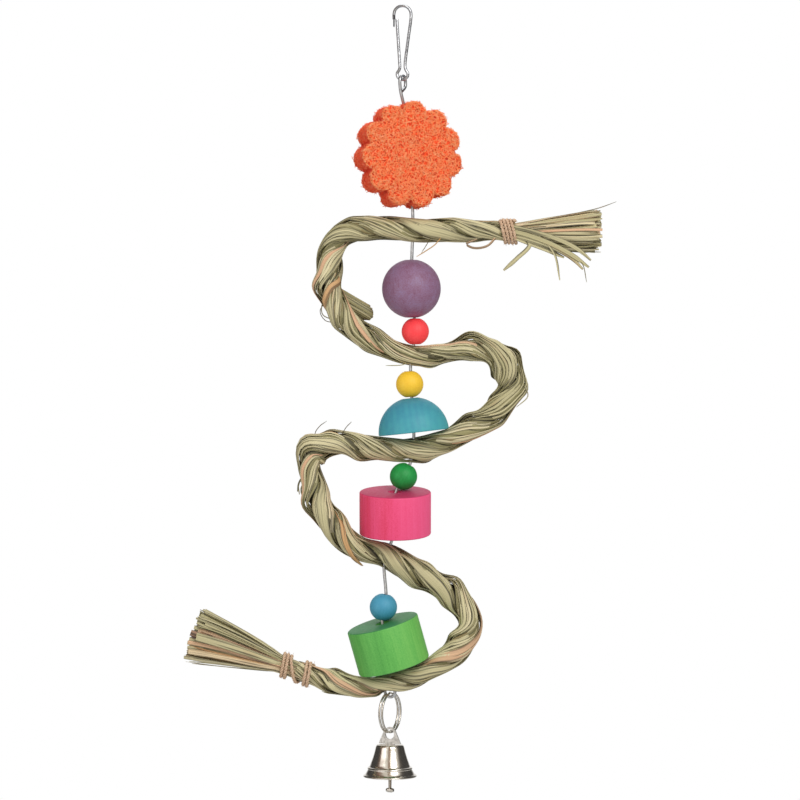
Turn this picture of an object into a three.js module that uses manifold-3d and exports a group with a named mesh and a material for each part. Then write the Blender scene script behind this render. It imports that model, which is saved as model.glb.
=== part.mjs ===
// Hanging bird toy. A wire snap hook carries a steel spine wire, which is threaded through a loofah slice,
// five passes of a bent grass rope and painted wooden pieces. A split ring at its foot carries a bell.
// Millimetres, +Z up, +X to the viewer's right. The origin is the inside of the hook's crown.
import * as THREE from 'three';
import { mergeGeometries, mergeVertices } from 'three/addons/utils/BufferGeometryUtils.js';
import Module from 'manifold-3d';

// Clearances
const touchGap = 0.3; // between pieces that rest on, or pass through, each other
const turnGap = 0.5; // between neighbouring turns of a winding
const hangGap = 0.45; // where one wire hangs in another and swings
const swingGap = 0.6; // inside the bell lug's hole, so that the lug can tilt on the ring

// Snap hook, bent from one length of spring wire
const hookWire = 1.5;
const crownRadius = 3.6; // inside the crown, where a cage bar sits
const neckDrop = 30; // crown to the narrow neck
const neckGap = 1.1; // between the two legs at the neck
const hookEyeDrop = 34.2; // crown to the centre of the lower eye
const hookEyeRadius = 2.75;
const catchRootDrop = 5.4; // crown to the start of the flattened catch
const catchLength = 5.6;
const catchWidth = 2.4;
const catchThickness = 0.8;
const gateTipDrop = 6; // crown to the tip of the sprung gate
const flexGap = 0.55; // between the gate's foot and the lower eye

// Spine wire, with an eye bent at each end
const spineWire = 1.6;
const topEyeWidth = 5.6;
const topEyeShank = 2.7; // hook's line to the side that goes on down as the shank
const topEyeHeight = 8;
const topEyeTurn = 60; // degrees, out of the picture plane
const bottomEyeRadius = 2.9;

// Loofah slice, a flower outline cut across a dried loofah
const loofahRadius = 27;
const loofahLobes = 11;
const lobeRadius = 6.1;
const lobePhase = 82; // degrees, place of the first lobe
const loofahThickness = 15;
const loofahEdge = 1.2; // rounding of its cut edges
const loofahDrop = 5.7; // top eye to the slice's upper edge
const loofahOffset = 2.8; // to the right of the hook
const loofahLean = -4.8; // degrees, top towards the left
const loofahTurn = 20; // degrees, face towards the right
const loofahRopeGap = 5.1; // slice to the rope's first pass

// Wooden pieces
const beadDiameter = 14;
const beadBore = 4;
const ballDiameter = 30;
const ballBore = 5.4;
const halfBallDiameter = 36;
const halfBallHeight = 18;
const blockBore = 6.6;
const pinkDiameter = 36.5;
const pinkHeight = 22;
const greenDiameter = 37;
const greenHeight = 23;
const blockEdge = 0.8; // easing of the turned edges
const halfBallLean = -6.3; // degrees, top towards the left
const pinkLean = 0;
const greenLean = -15.5;
const pinkPitch = 9; // degrees, top towards the viewer
const greenPitch = 6;
const yellowLean = -2;
const greenBeadLean = 28;
const blueBeadLean = 10;
const yellowShift = -0.7; // sideways from the wire, as far as the bore lets the piece hang
const pinkShift = 0.6;
const greenShift = 0.85;
const blueShift = -0.65;

// Grass rope, three strands laid together
const ropeDiameter = 12;
const ropeNeckDiameter = 10; // where the twine cinches it
const neckLength = 10; // length of the cinched end
const neckTaper = 10; // length over which it widens again
const ropeStrands = 3;
const strandValley = 0.77; // radius between two strands, as a share of the rope's radius
// Places along the rope, from its right end, where one strand after another comes to the front
const strandFronts = [
  14, 39, 63, 86, 103, 122, 141, 167, 197, 224, 247, 273, 298,
  320, 341, 362, 385, 406, 430, 456, 479, 499, 521, 541, 562,
];
const ropeRingCount = 124;
const passX = [5.3, 4.5, 5.2, -8.3, -6.4]; // where the wire crosses the rope, from top to bottom
const passPress = [0, 0.9, 0, 0, 1]; // how far the pieces press the rope's radius in at each pass
const pressLength = 18; // length of rope that is fully pressed, on each side of a pass
const pressFade = 14; // length over which it swells again
const baySlack = [7.8, 4.1, 4.8, 17.8]; // free height on the wire between two passes

// Rope route: bay (0 is the space below the first pass), share of that bay's height, x and y
const ropeRoute = [
  [0, 0.01, 54.3, 0], [0, 0, 31, 0], [0, 0, 5.3, 0], [0, -0.02, -13.5, 1], [0, 0.035, -31.5, 2],
  [0, 0.18, -37.5, 2], [0, 0.34, -38.2, 2], [0, 0.5, -36.6, 1], [0, 0.675, -31, 0], [0, 0.84, -20, 0],
  [1, 0, 4.5, 0], [1, -0.03, 21, 0], [1, -0.08, 37, 1], [1, -0.01, 48, 2], [1, 0.14, 54.5, 2],
  [1, 0.33, 56, 2], [1, 0.53, 51, 1], [1, 0.67, 43.5, 1], [1, 0.81, 31, 0], [1, 0.92, 20.5, 0],
  [2, 0, 5.2, 0], [2, -0.01, -11, 0], [2, -0.065, -33.5, -1], [2, 0.03, -46.5, -2], [2, 0.17, -47.5, -2],
  [2, 0.34, -45, -3], [2, 0.54, -42, -5], [2, 0.76, -34.6, -6], [2, 0.94, -23.4, -5], [3, 0.01, -9.4, 0],
  [3, 0.11, 1, 0], [3, 0.2, 13.5, 1], [3, 0.34, 26.5, 2], [3, 0.53, 34.5, 2], [3, 0.69, 31, 1],
  [3, 0.82, 20.4, 0], [3, 0.945, 7.2, 0], [3, 1, -6.4, 0], [3, 1.02, -19, 0], [3, 0.995, -34, 0],
  [3, 0.945, -44.5, 0], [3, 0.89, -54.3, 0],
];

// Spine wire route between the passes: bay, share of its height, x
const wireRoute = [
  [[0.15, 4.9], [0.5, 4.6], [0.83, 6.5]],
  [[0.14, 4.1], [0.5, 4.9], [0.85, 5.8]],
  [[0.11, 4.3], [0.19, 2.7], [0.275, 0], [0.4, -3.2], [0.83, -5], [0.925, -6.3]],
  [[0.09, -9.4], [0.34, -8.4], [0.53, -10.2], [0.85, -5.9]],
];

// Brush ends and their twine bindings
const brushStrands = 150; // cut leaves in each end
const brushSpread = 0.88; // share of the binding's bundle that the leaves fill
const leafRoot = 0.25; // leaf half width where it leaves the binding
const leafSeat = 0.6; // how far a leaf's root goes into the backing slice
const leafTip = 0.62;
const leafRagged = 0.1; // unevenness of the cut, as a share of the length
const rightBrushLength = 47;
const rightBrushRadius = 12;
const rightSlice = 5; // backing slice under the binding
const leftBrushLength = 57;
const leftBrushRadius = 15.5;
const leftSlice = 9;
const twine = 1.5;
const rightTurns = 3;
const leftTurns = 2; // in each of the two windings
const leftLink = 8.5; // twine's step from one winding to the other
const leftLinkTurns = 0.5;
const tailLength = 4;

// Split ring
const ringRadius = 10;
const ringWire = 1.1;
const ringTurn = 62; // degrees, out of the picture plane
const ringCrank = 40; // degrees over which the wire steps to its second coil
const ringSink = 4.4; // ring's top below the rope's centre line
const ringSwingRoom = 0.8; // groove over the ring, so that it can swing

// Bell
const bellCrownRadius = 6.7;
const bellWaistRadius = 8.2;
const bellWaistDrop = 5.5;
const bellSkirtRadius = 10.4;
const bellSkirtDrop = 11.6;
const bellRidgeRadius = 11.5;
const bellRidgeDrop = 13.2;
const bellLipRadius = 13.7;
const bellHeight = 16.5;
const bellWall = 0.6;
const shoulder = 0.9; // rounding at the crown's edge
const lugHoleRadius = 2.5;
const lugRadius = 3.7;
const lugDrop = 4.8; // hole to the crown
const lugThickness = 0.8;
const lugFoot = 12.6; // width on the crown
const tabWidth = 5;
const tabLength = 6;
const tabHoleRadius = 1.3;
const clapperWire = 0.9;
const clapperLength = 17.7;
const clapperLegGap = 0.5;
const clapperBeadLength = 4.4;
const clapperBeadDiameter = 2.4;

const up = new THREE.Vector3(0, 0, 1);
const toy = new THREE.Group();
const wasm = await Module();
wasm.setup();

const steel = new THREE.MeshStandardMaterial({ color: '#b9bcc0', roughness: 0.3, metalness: 1 });
const plated = new THREE.MeshStandardMaterial({ color: '#cfcfca', roughness: 0.15, metalness: 1 });
const loofah = new THREE.MeshStandardMaterial({ color: '#fa6a3c', roughness: 0.95 });
const grass = new THREE.MeshStandardMaterial({ color: '#b3ad80', roughness: 0.9 });
const jute = new THREE.MeshStandardMaterial({ color: '#c49a78', roughness: 0.95 });

function paintedWood(color) {
  return new THREE.MeshStandardMaterial({ color, roughness: 0.6 });
}

function point(x, y, z) {
  return new THREE.Vector3(x, y, z);
}

function degrees(angle) {
  return THREE.MathUtils.degToRad(angle);
}

// Turn of a piece that leans to the right and pitches towards the viewer
function leanTurn(lean, pitch = 0) {
  return new THREE.Euler(degrees(pitch), degrees(lean), 0, 'YXZ');
}

function leanAxis(lean, pitch = 0) {
  return up.clone().applyEuler(leanTurn(lean, pitch));
}

function addPiece(name, geometry, material, parent = toy) {
  const mesh = new THREE.Mesh(geometry, material);
  mesh.name = name;
  parent.add(mesh);
  return mesh;
}

// Volume inside a closed surface, negative where its faces point inwards
function signedVolume(geometry) {
  const position = geometry.getAttribute('position');
  const corners = [point(0, 0, 0), point(0, 0, 0), point(0, 0, 0)];
  let volume = 0;
  for (let i = 0; i < geometry.index.count; i += 3) {
    corners.forEach((corner, k) => corner.fromBufferAttribute(position, geometry.index.getX(i + k)));
    volume += corners[0].dot(corners[1].clone().cross(corners[2])) / 6;
  }
  return volume;
}

// The same surface with shared corners, facing out
function closedSurface(geometry) {
  const bare = geometry.clone();
  bare.deleteAttribute('normal');
  bare.deleteAttribute('uv');
  const merged = mergeVertices(bare, 1e-4);
  if (signedVolume(merged) < 0) {
    const index = merged.index.array;
    for (let i = 0; i < index.length; i += 3) {
      [index[i + 1], index[i + 2]] = [index[i + 2], index[i + 1]];
    }
  }
  merged.computeVertexNormals();
  return merged;
}

function toSolid(geometry) {
  const surface = closedSurface(geometry);
  return new wasm.Manifold(new wasm.Mesh({
    numProp: 3,
    vertProperties: new Float32Array(surface.getAttribute('position').array),
    triVerts: new Uint32Array(surface.index.array),
  }));
}

function fromSolid(solid) {
  const mesh = solid.getMesh();
  const geometry = new THREE.BufferGeometry();
  geometry.setAttribute('position', new THREE.BufferAttribute(mesh.vertProperties, 3));
  geometry.setIndex(new THREE.BufferAttribute(mesh.triVerts, 1));
  geometry.computeVertexNormals();
  return geometry;
}

function circle(radius, sides) {
  const shape = new THREE.Shape();
  for (let i = 0; i < sides; i += 1) {
    const angle = (2 * Math.PI * i) / sides;
    shape[i ? 'lineTo' : 'moveTo'](radius * Math.cos(angle), radius * Math.sin(angle));
  }
  return shape;
}

// Round wire along a smooth curve
function wireAlong(curve, diameter, steps, sides = 8) {
  const section = circle(diameter / 2, sides);
  return closedSurface(new THREE.ExtrudeGeometry(section, { steps, extrudePath: curve }));
}

function smoothCurve(points) {
  return new THREE.CatmullRomCurve3(points, false, 'centripetal');
}

// Round wire through points, with its steps shared out by the points, so that tight bends get more of them
const stepsPerPoint = 2;
function bentWire(points, diameter, sides = 8) {
  const curve = smoothCurve(points);
  curve.getUtoTmapping = (share) => share;
  return wireAlong(curve, diameter, stepsPerPoint * (points.length - 1), sides);
}

// Turned solid about Z from a profile of [radius, height] points
function turned(profile, segments) {
  const points = profile.map(([radius, height]) => new THREE.Vector2(radius, height));
  const lathe = new THREE.LatheGeometry(points, segments);
  lathe.rotateX(Math.PI / 2);
  return closedSurface(lathe);
}

// Skin over a row of rings that all have the same number of points, closed at both ends
function skinned(rings) {
  const sides = rings[0].length;
  const positions = rings.flat().flatMap((p) => [p.x, p.y, p.z]);
  const index = [];
  for (let ring = 0; ring < rings.length - 1; ring += 1) {
    for (let side = 0; side < sides; side += 1) {
      const a = ring * sides + side;
      const b = ring * sides + ((side + 1) % sides);
      index.push(a, b, b + sides, a, b + sides, a + sides);
    }
  }
  [0, rings.length - 1].forEach((ring) => {
    if (sides === 3) {
      const first = ring * sides;
      index.push(first, first + (ring ? 1 : 2), first + (ring ? 2 : 1));
      return;
    }
    const centre = positions.length / 3;
    const middle = rings[ring].reduce((sum, p) => sum.add(p), point(0, 0, 0)).divideScalar(sides);
    positions.push(middle.x, middle.y, middle.z);
    for (let side = 0; side < sides; side += 1) {
      const a = ring * sides + side;
      const b = ring * sides + ((side + 1) % sides);
      index.push(...(ring ? [centre, a, b] : [centre, b, a]));
    }
  });
  const geometry = new THREE.BufferGeometry();
  geometry.setAttribute('position', new THREE.Float32BufferAttribute(positions, 3));
  geometry.setIndex(index);
  return closedSurface(geometry);
}

// Wound tube through a row of points, with a frame carried along so that it doesn't twist
function woundTube(points, diameter, sides = 6) {
  let normal = null;
  const rings = points.map((p, i) => {
    const before = points[Math.max(i - 1, 0)];
    const after = points[Math.min(i + 1, points.length - 1)];
    const tangent = after.clone().sub(before).normalize();
    const start = normal ?? point(0.3, 0.5, 0.8);
    normal = start.clone().addScaledVector(tangent, -start.dot(tangent)).normalize();
    const side = tangent.clone().cross(normal);
    return Array.from({ length: sides }, (unused, k) => {
      const angle = (2 * Math.PI * k) / sides;
      const out = normal.clone().multiplyScalar(Math.cos(angle)).addScaledVector(side, Math.sin(angle));
      return p.clone().addScaledVector(out, diameter / 2);
    });
  });
  return skinned(rings);
}

const loopSteps = 24;

// Least gap between the turns of a winding, measured on its points
function printLeastGap(name, points, diameter) {
  let least = Infinity;
  points.forEach((p, i) => {
    points.slice(i + loopSteps / 2).forEach((q) => {
      least = Math.min(least, p.distanceTo(q) - diameter);
    });
  });
  console.log(`${name}: least gap to itself ${least.toFixed(2)} mm`);
}

// Places along the wire, from the hook down
const hookEyeBar = -hookEyeDrop - hookEyeRadius; // centre of the lower eye's bottom bar
const topEyeZ = hookEyeBar + (hookWire + spineWire) / 2 + hangGap;
const topEyeFootZ = topEyeZ - topEyeHeight;
const loofahCentre = point(loofahOffset, 0, topEyeFootZ - loofahDrop - loofahRadius);
const bayStack = [
  ballDiameter + beadDiameter,
  beadDiameter + halfBallHeight,
  beadDiameter + pinkHeight,
  beadDiameter + greenHeight,
];
const passZ = [loofahCentre.z - loofahRadius - loofahRopeGap - ropeDiameter / 2];
bayStack.forEach((stack, bay) => passZ.push(passZ[bay] - ropeDiameter - stack - baySlack[bay]));

function inBay(bay, share) {
  return THREE.MathUtils.lerp(passZ[bay], passZ[bay + 1], share);
}

// Split ring's directions and places: across is along its top, normal is its axis
const ringAcross = point(Math.cos(degrees(ringTurn)), Math.sin(degrees(ringTurn)), 0);
const ringNormal = ringAcross.clone().cross(up);
const coilPitch = ringWire + turnGap;
const lastPass = point(passX[4], 0, passZ[4]);
const ringTop = lastPass.clone().addScaledVector(up, -ringSink);
const ringCentre = ringTop.clone().addScaledVector(up, -ringRadius);
const ringFoot = ringCentre.clone().addScaledVector(up, -ringRadius);

// Height from a round hole's centre to a pair of coils that hang or rest in it
function coilOffset(holeRadius, gap) {
  const reach = holeRadius - gap - ringWire / 2;
  return Math.sqrt(reach ** 2 - (coilPitch / 2) ** 2);
}

const bottomEyeCentre = ringTop.clone().addScaledVector(
  up,
  coilOffset(bottomEyeRadius - spineWire / 2, hangGap),
);

// Spine wire
function spineRoute() {
  const turn = degrees(topEyeTurn);
  const inEye = (share, z) => point(share * Math.cos(turn), share * Math.sin(turn), z);
  const far = topEyeWidth - topEyeShank;
  const points = [
    inEye(spineWire / 2 + touchGap - 0.7 * topEyeShank, topEyeFootZ),
    inEye(0.2 * far, topEyeFootZ + 0.1 * topEyeHeight),
    inEye(far, topEyeFootZ + 0.36 * topEyeHeight),
    inEye(far, topEyeZ - 0.3 * topEyeHeight),
    inEye(0.7 * far, topEyeZ - 0.06 * topEyeHeight),
    inEye(0.15 * far, topEyeZ),
    inEye(-0.65 * topEyeShank, topEyeZ - 0.08 * topEyeHeight),
    inEye(-topEyeShank, topEyeZ - 0.3 * topEyeHeight),
    inEye(-0.7 * topEyeShank, topEyeFootZ),
  ];
  const loofahAxis = leanAxis(loofahLean);
  const entry = loofahCentre.clone().addScaledVector(loofahAxis, 0.95 * loofahRadius);
  points.push(points.at(-1).clone().lerp(entry, 0.55), entry);
  [0.5, 0, -0.5, -1.05].forEach((share) => {
    points.push(loofahCentre.clone().addScaledVector(loofahAxis, share * loofahRadius));
  });
  wireRoute.forEach((bayPoints, bay) => {
    points.push(point(passX[bay], 0, passZ[bay]));
    bayPoints.forEach(([share, x]) => points.push(point(x, 0, inBay(bay, share))));
  });
  const eyeStart = 112;
  const eyeEnd = 425;
  const eyePoints = 10;
  points.push(lastPass.clone().setZ(bottomEyeCentre.z + 2 * bottomEyeRadius));
  for (let i = 0; i <= eyePoints; i += 1) {
    const angle = degrees(THREE.MathUtils.lerp(eyeStart, eyeEnd, i / eyePoints));
    const out = ringNormal.clone().multiplyScalar(Math.cos(angle)).addScaledVector(up, Math.sin(angle));
    points.push(bottomEyeCentre.clone().addScaledVector(out, bottomEyeRadius));
  }
  return points;
}

const spineBends = spineRoute();
addPiece('spine_wire', bentWire(spineBends, spineWire), steel);
const tunnelSides = 6;
const tunnelDiameter = (spineWire + 2 * touchGap) / Math.cos(Math.PI / tunnelSides);
const wireTunnel = toSolid(bentWire(spineBends, tunnelDiameter, tunnelSides));

// Point of the spine wire at a height below its top eye
const spinePoints = smoothCurve(spineBends).getPoints(600);
const highest = Math.max(...spinePoints.map((p) => p.z));
const spineSamples = spinePoints.slice(spinePoints.findIndex((p) => p.z === highest));
function spineAt(z) {
  const next = spineSamples.findIndex((p) => p.z <= z);
  const [a, b] = [spineSamples[next - 1], spineSamples[next]];
  return a.clone().lerp(b, (a.z - z) / (a.z - b.z));
}

// Snap hook and its sprung gate
function snapHook() {
  const legX = crownRadius + hookWire / 2;
  const neckX = (neckGap + hookWire) / 2;
  const points = [point(-legX, 0, -catchRootDrop), point(-legX, 0, -crownRadius)];
  for (let angle = 150; angle >= 30; angle -= 30) {
    points.push(point(legX * Math.cos(degrees(angle)), 0, legX * Math.sin(degrees(angle)) - crownRadius));
  }
  points.push(point(legX, 0, -crownRadius));
  points.push(point((legX + neckX) / 2, 0, -(crownRadius + neckDrop) / 2));
  points.push(point(neckX, 0, -neckDrop));
  for (let angle = 50; angle >= -230; angle -= 40) {
    const x = hookEyeRadius * Math.cos(degrees(angle));
    points.push(point(x, 0, hookEyeRadius * Math.sin(degrees(angle)) - hookEyeDrop));
  }
  points.push(point(-neckX, 0, -neckDrop - hookWire / 2));
  const wire = bentWire(points, hookWire);
  const tongue = new THREE.Shape();
  const half = catchWidth / 2;
  tongue.moveTo(-half, catchLength - half);
  tongue.lineTo(-half, 0);
  tongue.lineTo(half, 0);
  tongue.lineTo(half, catchLength - half);
  tongue.absarc(0, catchLength - half, half, 0, Math.PI, false);
  const plate = new THREE.ExtrudeGeometry(tongue, {
    depth: catchThickness,
    bevelEnabled: false,
    curveSegments: 8,
  });
  plate.rotateY(Math.PI / 2);
  plate.rotateX(-Math.PI / 2);
  plate.translate(-legX - catchThickness / 2, 0, hookWire / 2 - catchRootDrop);
  return fromSolid(toSolid(wire).add(toSolid(plate)));
}

function snapHookGate() {
  const legX = crownRadius + hookWire / 2;
  const neckX = (neckGap + hookWire) / 2;
  const tipX = -legX + catchThickness / 2 + touchGap + hookWire / 2;
  const foot = point(-neckX, 0, -neckDrop - hookWire / 2 + flexGap);
  return wireAlong(new THREE.LineCurve3(foot, point(tipX, 0, -gateTipDrop)), hookWire, 4);
}

addPiece('snap_hook', snapHook(), steel);
addPiece('snap_hook_gate', snapHookGate(), steel);

// Loofah slice: scalloped outline, pierced from edge to edge for the wire
function loofahSlice() {
  const centreRadius = loofahRadius - lobeRadius;
  const step = (2 * Math.PI) / loofahLobes;
  const halfChord = centreRadius * Math.sin(step / 2);
  const swing = Math.PI / 2 + step / 2 - Math.acos(Math.min(halfChord / lobeRadius, 1));
  const outline = new THREE.Shape();
  for (let lobe = 0; lobe < loofahLobes; lobe += 1) {
    const angle = degrees(lobePhase) + lobe * step;
    const centre = [centreRadius * Math.cos(angle), centreRadius * Math.sin(angle)];
    outline.absarc(...centre, lobeRadius, angle - swing, angle + swing, false);
  }
  const slab = new THREE.ExtrudeGeometry(outline, {
    depth: loofahThickness - 2 * loofahEdge,
    bevelThickness: loofahEdge,
    bevelSize: loofahEdge,
    bevelOffset: -loofahEdge,
    bevelSegments: 1,
    curveSegments: 5,
  });
  slab.translate(0, 0, loofahEdge - loofahThickness / 2);
  slab.rotateX(Math.PI / 2);
  const boreRadius = spineWire / 2 + 2 * touchGap;
  const bore = new THREE.CylinderGeometry(boreRadius, boreRadius, 3 * loofahRadius, 10);
  bore.rotateX(Math.PI / 2);
  return fromSolid(toSolid(slab).subtract(toSolid(bore)));
}

const loofahMount = new THREE.Group();
loofahMount.position.copy(loofahCentre);
loofahMount.rotation.y = degrees(loofahLean);
toy.add(loofahMount);
addPiece('loofah_slice', loofahSlice(), loofah, loofahMount).rotation.z = degrees(loofahTurn);

// Grass rope: a three-lobed section that turns as its strands pass the front
const ropeCurve = smoothCurve(ropeRoute.map(([bay, share, x, y]) => point(x, y, inBay(bay, share))));
const ropeLength = ropeCurve.getLength();

const ropeSamples = ropeCurve.getSpacedPoints(600);
const passAlong = passX.map((x, pass) => {
  const distances = ropeSamples.map((p) => p.distanceTo(point(x, 0, passZ[pass])));
  const nearest = distances.indexOf(Math.min(...distances));
  return (ropeLength * nearest) / (ropeSamples.length - 1);
});

function ropeRadius(along) {
  const toEnd = Math.min(along, ropeLength - along);
  const narrowed = 1 - THREE.MathUtils.smoothstep(toEnd, neckLength, neckLength + neckTaper);
  const pressed = passAlong.map((pass, i) => {
    const away = THREE.MathUtils.smoothstep(Math.abs(along - pass), pressLength, pressLength + pressFade);
    return passPress[i] * (1 - away);
  });
  return THREE.MathUtils.lerp(ropeDiameter, ropeNeckDiameter, narrowed) / 2 - Math.max(...pressed);
}

// Strands that have come to the front by a place along the rope, the last in part
function strandsPassed(along) {
  const ahead = strandFronts.findIndex((front) => front > along);
  const next = ahead < 0 ? strandFronts.length - 1 : Math.max(ahead, 1);
  const [from, to] = [strandFronts[next - 1], strandFronts[next]];
  return next - 1 + (along - from) / (to - from);
}

function ropeSurface() {
  const pointsPerStrand = 4;
  const sides = ropeStrands * pointsPerStrand;
  const middle = (1 + strandValley) / 2;
  const rings = [];
  for (let step = 0; step <= ropeRingCount; step += 1) {
    const share = step / ropeRingCount;
    const centre = ropeCurve.getPointAt(share);
    const tangent = ropeCurve.getTangentAt(share);
    const across = tangent.clone().cross(point(0, 1, 0)).normalize();
    const depth = across.clone().cross(tangent);
    const radius = ropeRadius(share * ropeLength);
    const twist = -Math.PI / 2 - (2 * Math.PI * strandsPassed(share * ropeLength)) / ropeStrands;
    rings.push(Array.from({ length: sides }, (unused, side) => {
      const angle = (2 * Math.PI * side) / sides;
      const lobed = radius * (middle + (1 - middle) * Math.cos(ropeStrands * angle));
      return centre.clone()
        .addScaledVector(across, lobed * Math.cos(angle + twist))
        .addScaledVector(depth, lobed * Math.sin(angle + twist));
    }));
  }
  return skinned(rings);
}

// Room in the rope's underside for the wire's eye and for the ring that hangs in it
function ringPocket() {
  const belowRope = 2 * ropeDiameter;
  const eyeRoom = bottomEyeRadius + spineWire / 2 + touchGap;
  const eyeTop = bottomEyeCentre.z + eyeRoom;
  const eyePocket = new THREE.CylinderGeometry(eyeRoom, eyeRoom, belowRope, 16);
  eyePocket.rotateX(Math.PI / 2);
  eyePocket.translate(lastPass.x, lastPass.y, eyeTop - belowRope / 2);
  const grooveTop = ringTop.z + ringWire / 2 + ringSwingRoom;
  const grooveWidth = coilPitch + ringWire + 2 * touchGap;
  const groove = new THREE.BoxGeometry(2 * ringRadius, grooveWidth, belowRope);
  groove.rotateZ(degrees(ringTurn));
  groove.translate(lastPass.x, lastPass.y, grooveTop - belowRope / 2);
  return toSolid(eyePocket).add(toSolid(groove));
}

const ropeSkin = ropeSurface();
const pierced = toSolid(ropeSkin).subtract(wireTunnel).subtract(ringPocket());
addPiece('grass_rope', fromSolid(pierced), grass);

// Cut leaves that spread from a backing slice, along +Z
function brushEnd(length, endRadius, slice) {
  const neck = ropeNeckDiameter / 2;
  const goldenAngle = Math.PI * (3 - Math.sqrt(5));
  const leaves = [];
  for (let leaf = 0; leaf < brushStrands; leaf += 1) {
    const share = Math.sqrt((leaf + 0.5) / brushStrands);
    const angle = leaf * goldenAngle;
    const cut = length * (1 - leafRagged * (0.5 + 0.5 * Math.sin(leaf * leaf)));
    const ring = (radius, halfWidth, z) => [0, 1, 2].map((corner) => {
      const turn = angle + (2 * Math.PI * corner) / 3;
      return point(
        radius * share * Math.cos(angle) + halfWidth * Math.cos(turn),
        radius * share * Math.sin(angle) + halfWidth * Math.sin(turn),
        z,
      );
    });
    const root = ring(neck * brushSpread, leafRoot, slice - leafSeat);
    leaves.push(skinned([root, ring(endRadius * brushSpread, leafTip, cut)]));
  }
  const backing = new THREE.CylinderGeometry(neck, neck, slice, 20);
  backing.rotateX(Math.PI / 2);
  backing.translate(0, 0, slice / 2);
  return fromSolid(toSolid(mergeGeometries(leaves)).add(toSolid(backing)));
}

// Twine wound round the Z axis in stages of [turns, pitch], with a straight tail at each end
function twineBinding(name, stages, startZ, startAngle) {
  const radius = ropeNeckDiameter / 2 + touchGap + twine / 2;
  const points = [];
  let z = startZ;
  let angle = startAngle;
  const onCircle = () => point(radius * Math.cos(angle), radius * Math.sin(angle), z);
  points.push(onCircle());
  stages.forEach(([turns, pitch]) => {
    const steps = Math.round(turns * loopSteps);
    for (let step = 0; step < steps; step += 1) {
      angle += (2 * Math.PI * turns) / steps;
      z += (pitch * turns) / steps;
      points.push(onCircle());
    }
  });
  const leaving = points.at(-1).clone().sub(points.at(-2)).normalize();
  const arriving = points[0].clone().sub(points[1]).normalize();
  points.push(points.at(-1).clone().addScaledVector(leaving, tailLength));
  points.unshift(points[0].clone().addScaledVector(arriving, twine));
  printLeastGap(name, points, twine);
  return woundTube(points, twine);
}

// One end of the rope: its brush and binding, along the rope's own direction there
function ropeEnd(side, share, outward, brush, stages, startZ, startAngle) {
  const mount = new THREE.Group();
  mount.position.copy(ropeCurve.getPointAt(share));
  const direction = ropeCurve.getTangentAt(share).multiplyScalar(outward);
  mount.quaternion.setFromUnitVectors(up, direction);
  toy.add(mount);
  addPiece(`${side}_brush_end`, brush, grass, mount).position.z = touchGap;
  const name = `${side}_twine_binding`;
  addPiece(name, twineBinding(name, stages, startZ, startAngle), jute, mount);
}

const twinePitch = twine + turnGap;
const rightWidth = rightTurns * twinePitch;
const leftWidth = leftTurns * twinePitch;
ropeEnd(
  'right', 0, -1,
  brushEnd(rightBrushLength, rightBrushRadius, rightSlice),
  [[rightTurns, twinePitch]],
  -rightWidth / 2, degrees(200),
);
ropeEnd(
  'left', 1, 1,
  brushEnd(leftBrushLength, leftBrushRadius, leftSlice),
  [[leftTurns, twinePitch], [leftLinkTurns, leftLink / leftLinkTurns], [leftTurns, twinePitch]],
  -leftWidth - leftLink / 2, degrees(20),
);

// First place up the wire, from a height, where a piece clears what lies under it
function seatOnWire(lowZ, isClear, shift = 0) {
  const searchStep = 0.5;
  const searchRounds = 12;
  const beside = (z) => spineAt(z).add(point(shift, 0, 0));
  let high = lowZ;
  while (!isClear(beside(high))) high += searchStep;
  let low = high - searchStep;
  for (let round = 0; round < searchRounds; round += 1) {
    const middle = (low + high) / 2;
    if (isClear(beside(middle))) high = middle;
    else low = middle;
  }
  return beside(high);
}

// Points spread over each triangle of a surface
function surfacePoints(geometry) {
  const position = geometry.getAttribute('position');
  const parts = 4;
  const found = [];
  for (let i = 0; i < geometry.index.count; i += 3) {
    const [a, b, c] = [0, 1, 2].map((k) => {
      const corner = geometry.index.getX(i + k);
      return point(0, 0, 0).fromBufferAttribute(position, corner);
    });
    for (let u = 0; u <= parts; u += 1) {
      for (let v = 0; v <= parts - u; v += 1) {
        found.push(a.clone().lerp(b, u / parts).addScaledVector(c.clone().sub(a), v / parts));
      }
    }
  }
  return found;
}

const ropePoints = surfacePoints(ropeSkin);

// Place of a flat-bottomed piece that rests on the rope's pass, reaching below and above that place
function flatSeat(pass, radius, below, above, axis, shift = 0) {
  const isClear = (centre) => ropePoints.every((p) => {
    const from = p.clone().sub(centre);
    const height = from.dot(axis);
    const across = from.addScaledVector(axis, -height).length();
    return across > radius + touchGap || height < -below - touchGap || height > above + touchGap;
  });
  return seatOnWire(passZ[pass], isClear, shift);
}

// Centre of a ball that rests on the rope's pass
function ballSeat(pass, radius) {
  const clearance = radius + touchGap;
  return seatOnWire(passZ[pass], (centre) => ropePoints.every((p) => p.distanceTo(centre) > clearance));
}

// Half the height of a bored ball, measured at the edge of its bore
function halfBored(diameter, bore) {
  return Math.sqrt((diameter / 2) ** 2 - (bore / 2) ** 2);
}

function boredBall(diameter, bore, segments) {
  const arcs = segments / 2;
  const limit = Math.acos(bore / diameter);
  const profile = [];
  for (let i = 0; i <= arcs; i += 1) {
    const angle = THREE.MathUtils.lerp(-limit, limit, i / arcs);
    profile.push([(diameter / 2) * Math.cos(angle), (diameter / 2) * Math.sin(angle)]);
  }
  profile.push(profile[0]);
  return turned(profile, segments);
}

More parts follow.
